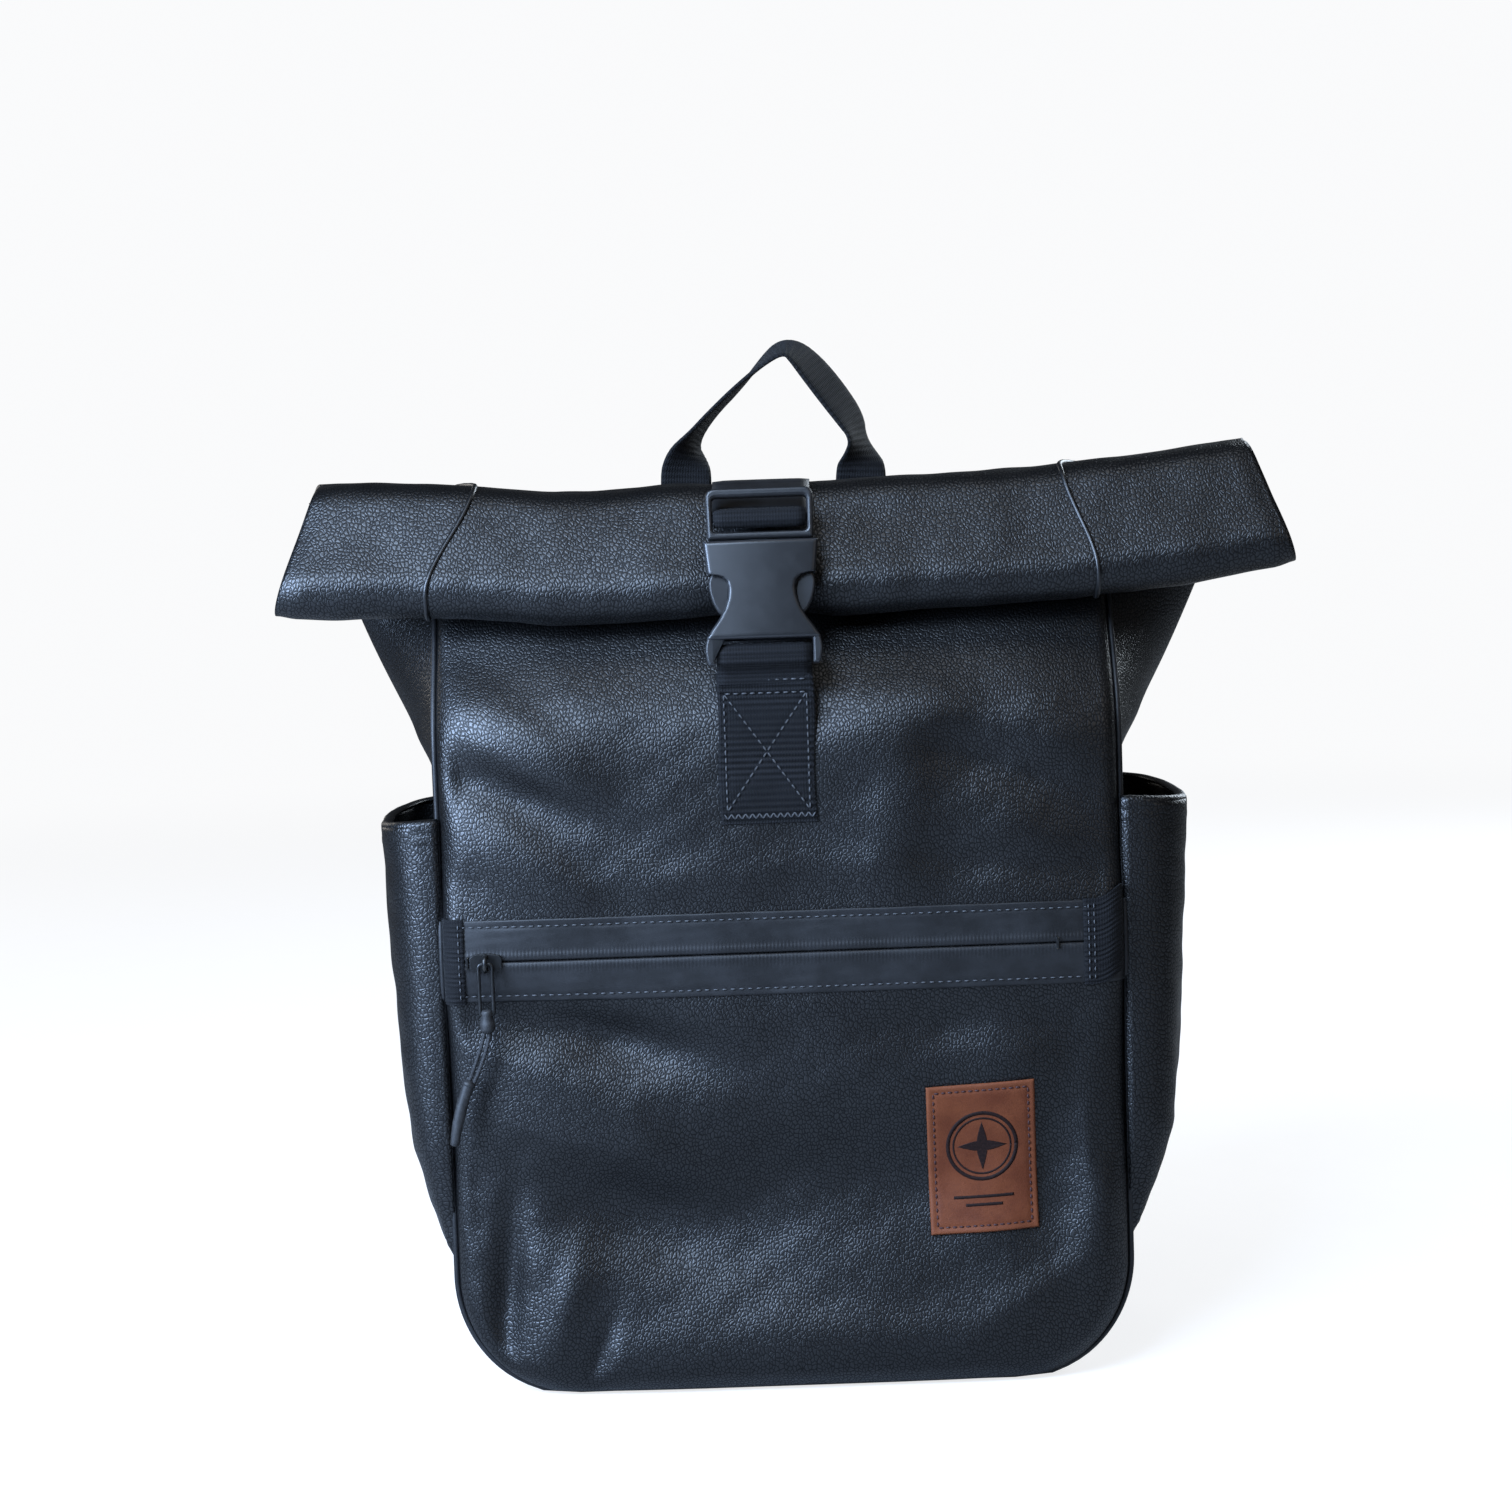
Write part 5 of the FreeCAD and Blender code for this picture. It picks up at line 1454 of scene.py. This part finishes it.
def build_strap_pad(side, word, body):
    """Stuffed pad, leather outside and air mesh towards the back, with bound and stitched edges."""
    rows, ring = 60, 36
    t = np.linspace(0, 1, rows + 1)[:, None]
    a = np.linspace(0, TURN, ring, endpoint=False)[None, :]
    across = np.sign(np.cos(a)) * np.abs(np.cos(a)) ** 0.55 * strap_half(t)
    deep = np.sign(np.sin(a)) * np.abs(np.sin(a)) ** 0.75 * PAD_THICK / 2
    close = np.sqrt(np.clip(np.minimum(t / 0.03, (1 - t) / 0.03), 0.02, 1))
    place = splayed(side, across * (0.8 + 0.2 * close), strap_centre_y(t) + deep * close,
                    between(PAD_TOP, PAD_END, t) + 0 * a)
    faces = grid_faces(rows, ring, flip=side < 0, closed=True)
    faces += [cap[::side] for cap in (range(ring), range(rows * ring + ring - 1, rows * ring - 1, -1))]
    pad = add_mesh("strap_pad_leather_" + word, np.stack(place, axis=2).reshape(-1, 3), faces, LEATHER, None)
    swell(pad, 4.5, 4.0, 3.0)
    pad.data.materials.clear()
    pad.data.materials.append(LEATHER)
    pad.data.materials.append(AIR_MESH)
    inner = [1 if polygon.normal.y < -0.2 else 0 for polygon in pad.data.polygons]
    pad.data.polygons.foreach_set("material_index", inner)
    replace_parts(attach(pad, body), body, "strap_foam_" + word)
    t = np.linspace(0.0, 1.0, 70)
    z = between(PAD_TOP, PAD_END, t)
    sewn = []
    for edge in (-1, 1):
        rim = columns(splayed(side, edge * (strap_half(t) + 0.6), strap_centre_y(t), z))
        tube("strap_binding_%s_%d" % (word, edge), rim, 1.9, FINE_LEATHER, body)
        line = splayed(side, edge * (strap_half(t) - 5.5), strap_centre_y(t) + PAD_THICK / 2 + 1.6, z)
        sewn.append((columns(line)[2:-3], TO_BACK))
    stitches("strap_stitching_" + word, sewn, 3.6, 2.2, 0.34, body=body)


def build_strap_root(side, word):
    """Leather tab, shaped with a bend from the back panel onto the strap's pad."""
    z = np.linspace(270, 240, 26)
    on_back = back_y(STRAP_ROOT[0] + 0 * z, z) + 4.6
    on_pad = strap_centre_y((PAD_TOP - z) / (PAD_TOP - PAD_END)) + PAD_THICK / 2 + 2.4
    y = np.where(z > 256, on_back, on_pad)
    y = np.convolve(np.pad(y, 3, mode="edge"), np.ones(7) / 7, mode="valid")
    tab = ribbon("strap_root_tab_" + word, columns(splayed(side, 0, y, z)), 50.0, 2.2, FINE_LEATHER, None)
    x, y, z = pivot("strap_lift_" + word) / 1000
    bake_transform(tab)


def build_ladder_lock(side, word, body):
    """Three-slot slider at the pad's end and the webbing that holds it."""
    node = "ladder_lock_" + word
    y0, y1 = low(node)[1], high(node)[1]
    y = (y0 + y1) / 2
    slots = [rounded(rect(-13.4, LOCK_TOP - a, 13.4, LOCK_TOP - b), 1.2)[::-1]
             for a, b in ((9.5, 4.5), (18.5, 13.0), (26.5, 22.0))]
    outer = rounded(rect(-16, LOCK_TOP - 30, 16, LOCK_TOP), 3.0)
    lock = plate("ladder_lock_body_" + word, [outer] + slots, y1 - y0, 1.3,
                 lambda a, b, c: splayed(side, a, b + y, c), PLASTIC, body)
    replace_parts(lock, node)
    pad_y0 = float(strap_centre_y(1.0))
    loop = soften([(pad_y0 + 3, PAD_END + 16), (pad_y0 + 4.2, PAD_END + 4), (y + 4.0, LOCK_TOP - 2),
                   (y + 3.0, LOCK_TOP - 9.5), (y, LOCK_TOP - 13.0), (y - 3.0, LOCK_TOP - 10.5),
                   (y - 3.6, LOCK_TOP - 2), (pad_y0 - 3, PAD_END + 10)])
    narrow_webbing("lock_webbing_" + word, columns(splayed(side, 0, loop[:, 0], loop[:, 1])), body)


def build_lower_webbing(side, word):
    """Webbing from the anchor tab up to the ladder lock, and its loose tail."""
    end_body = "strap_tail_" + word
    y = middle("ladder_lock_" + word)[1]
    tab = middle("strap_anchor_" + word)
    tab_y = high("strap_anchor_" + word)[1]
    upper = columns(splayed(side, 0, y - np.array([3.4, 3.6, 2.0]), LOCK_TOP - np.array([12.0, 22.0, 31.0])))
    anchor = np.array([[tab[0] - side * 1.0, tab_y + 2.4, 44.0], [tab[0], tab_y + 1.0, 28.0]])
    sling = narrow_webbing("lower_webbing_" + word, soften(np.vstack([upper, anchor])), None)
    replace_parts(sling, "strap_webbing_" + word)
    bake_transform(sling)
    tail_y = high(end_body)[1]
    z = np.linspace(LOCK_TOP - 11, LOCK_TOP - 86, 30)
    curl = 3.0 * smooth(0.5, 1.0, np.linspace(0, 1, 30)) + 0.8 * np.sin(np.linspace(0, 5, 30))
    place = columns(splayed(side, 0, tail_y - 0.6 + curl, z))
    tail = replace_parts(narrow_webbing("webbing_tail_" + word, place, None), end_body)
    hem = columns(splayed(side, 0, tail_y + 1.6 + curl[-8:], z[-8:] + 1.5))
    narrow_webbing("webbing_tail_hem_" + word, hem, end_body)
    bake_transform(tail)


# ---------------------------------------------------------------- stage
SKY_WHITE = (0.985, 0.99, 1.0, 1.0)


def aim(place, target):
    return (Vector(target) - Vector(place)).to_track_quat("-Z", "Y").to_euler()


def soft_light(name, place, target, size, power, colour):
    data = bpy.data.lights.new(name, "AREA")
    data.shape = "RECTANGLE"
    data.size, data.size_y = size
    data.energy = power
    data.color = colour
    obj = bpy.data.objects.new(name, data)
    obj.location = place
    obj.rotation_euler = aim(place, target)
    bpy.context.scene.collection.objects.link(obj)


def build_stage():
    def ground(u, v):
        return 16000 * (u - 0.5), 16000 * (v - 0.5), -0.2
    sheet("floor", 4, 4, ground, stage_paper(), None, 0)
    soft_light("window_key", (-0.80, -0.66, 0.55), (-0.06, 0, 0.20), (0.40, 0.55), 33, (0.50, 0.68, 1.0))
    soft_light("window_high", (-0.36, -0.97, 1.00), (-0.04, 0, 0.10), (0.45, 0.45), 17, (0.56, 0.73, 1.0))
    soft_light("window_top", (0.10, -0.60, 1.70), (0, 0, 0.18), (0.8, 0.5), 3, (0.95, 0.97, 1.0))
    soft_light("warm_fill", (1.3, -1.3, 1.0), (0, 0, 0.2), (0.9, 0.9), 3.0, (1.0, 0.93, 0.86))
    soft_light("back_left", (1.3, 1.5, 1.1), (0, 0, 0.2), (0.9, 1.1), 30, (0.80, 0.90, 1.0))
    soft_light("back_right", (-1.5, 1.6, 0.9), (0, 0, 0.2), (0.8, 0.8), 6, (1.0, 0.95, 0.88))
    build_sky()
    bpy.context.scene.view_settings.view_transform = "Standard"


def build_sky():
    """White behind the bag for the camera, and only a faint glow on everything else."""
    world = bpy.data.worlds.new("studio")
    world.use_nodes = True
    tree = world.node_tree
    sky = tree.nodes["Background"]
    seen = tree.nodes.new("ShaderNodeLightPath")
    bright = tree.nodes.new("ShaderNodeMapRange")
    tree.links.new(seen.outputs["Is Camera Ray"], bright.inputs["Value"])
    bright.inputs["To Min"].default_value = 0.04
    bright.inputs["To Max"].default_value = 0.97
    tree.links.new(bright.outputs["Result"], sky.inputs["Strength"])
    sky.inputs["Color"].default_value = SKY_WHITE
    bpy.context.scene.world = world


def stage_paper():
    """Pale paper that glows for the camera only, so it reads as white and still doesn't light the bag."""
    m = Nodes("stage_paper")
    away = m.add("VectorMath", {"operation": "LENGTH"}, Vector=m.object)
    far = m.ramp(away.outputs["Value"], 0.7, 3.0)
    near = m.mix(m.noise(40.0, 3.0), (0.34, 0.34, 0.345), (0.38, 0.38, 0.38))
    seen = m.add("LightPath").outputs["Is Camera Ray"]
    glow = m.math("MULTIPLY", seen, m.scaled(far, 0.20, 0.77))
    look = {"Base Color": m.mix(far, near, (0.0, 0.0, 0.0)), "Roughness": 0.85, "Specular IOR Level": 0.0,
            "Emission Color": SKY_WHITE, "Emission Strength": glow}
    for key, value in look.items():
        m.put(m.shader, key, value)
    return m.material


def build_camera():
    data = bpy.data.cameras.new("camera")
    data.lens = 69
    camera = bpy.data.objects.new("camera", data)
    target = Vector((-0.009, 0.0, 0.272))
    lift = math.radians(5)
    place = target + Vector((0, -math.cos(lift), math.sin(lift))) * 1.305
    camera.location = place
    tilt = Matrix.Rotation(math.radians(-2.0), 3, "Z")
    camera.rotation_euler = (aim(place, target).to_matrix() @ tilt).to_euler()
    bpy.context.scene.collection.objects.link(camera)
    bpy.context.scene.camera = camera


for build in (build_body, build_base, build_seams, build_inside, build_zip, build_slider, build_roll,
              build_socket, build_plug, build_closing_strap, build_pad, build_handle,
              build_side_pockets, build_patch, build_back, build_shoulder_straps,
              build_stage, build_camera):
    build()
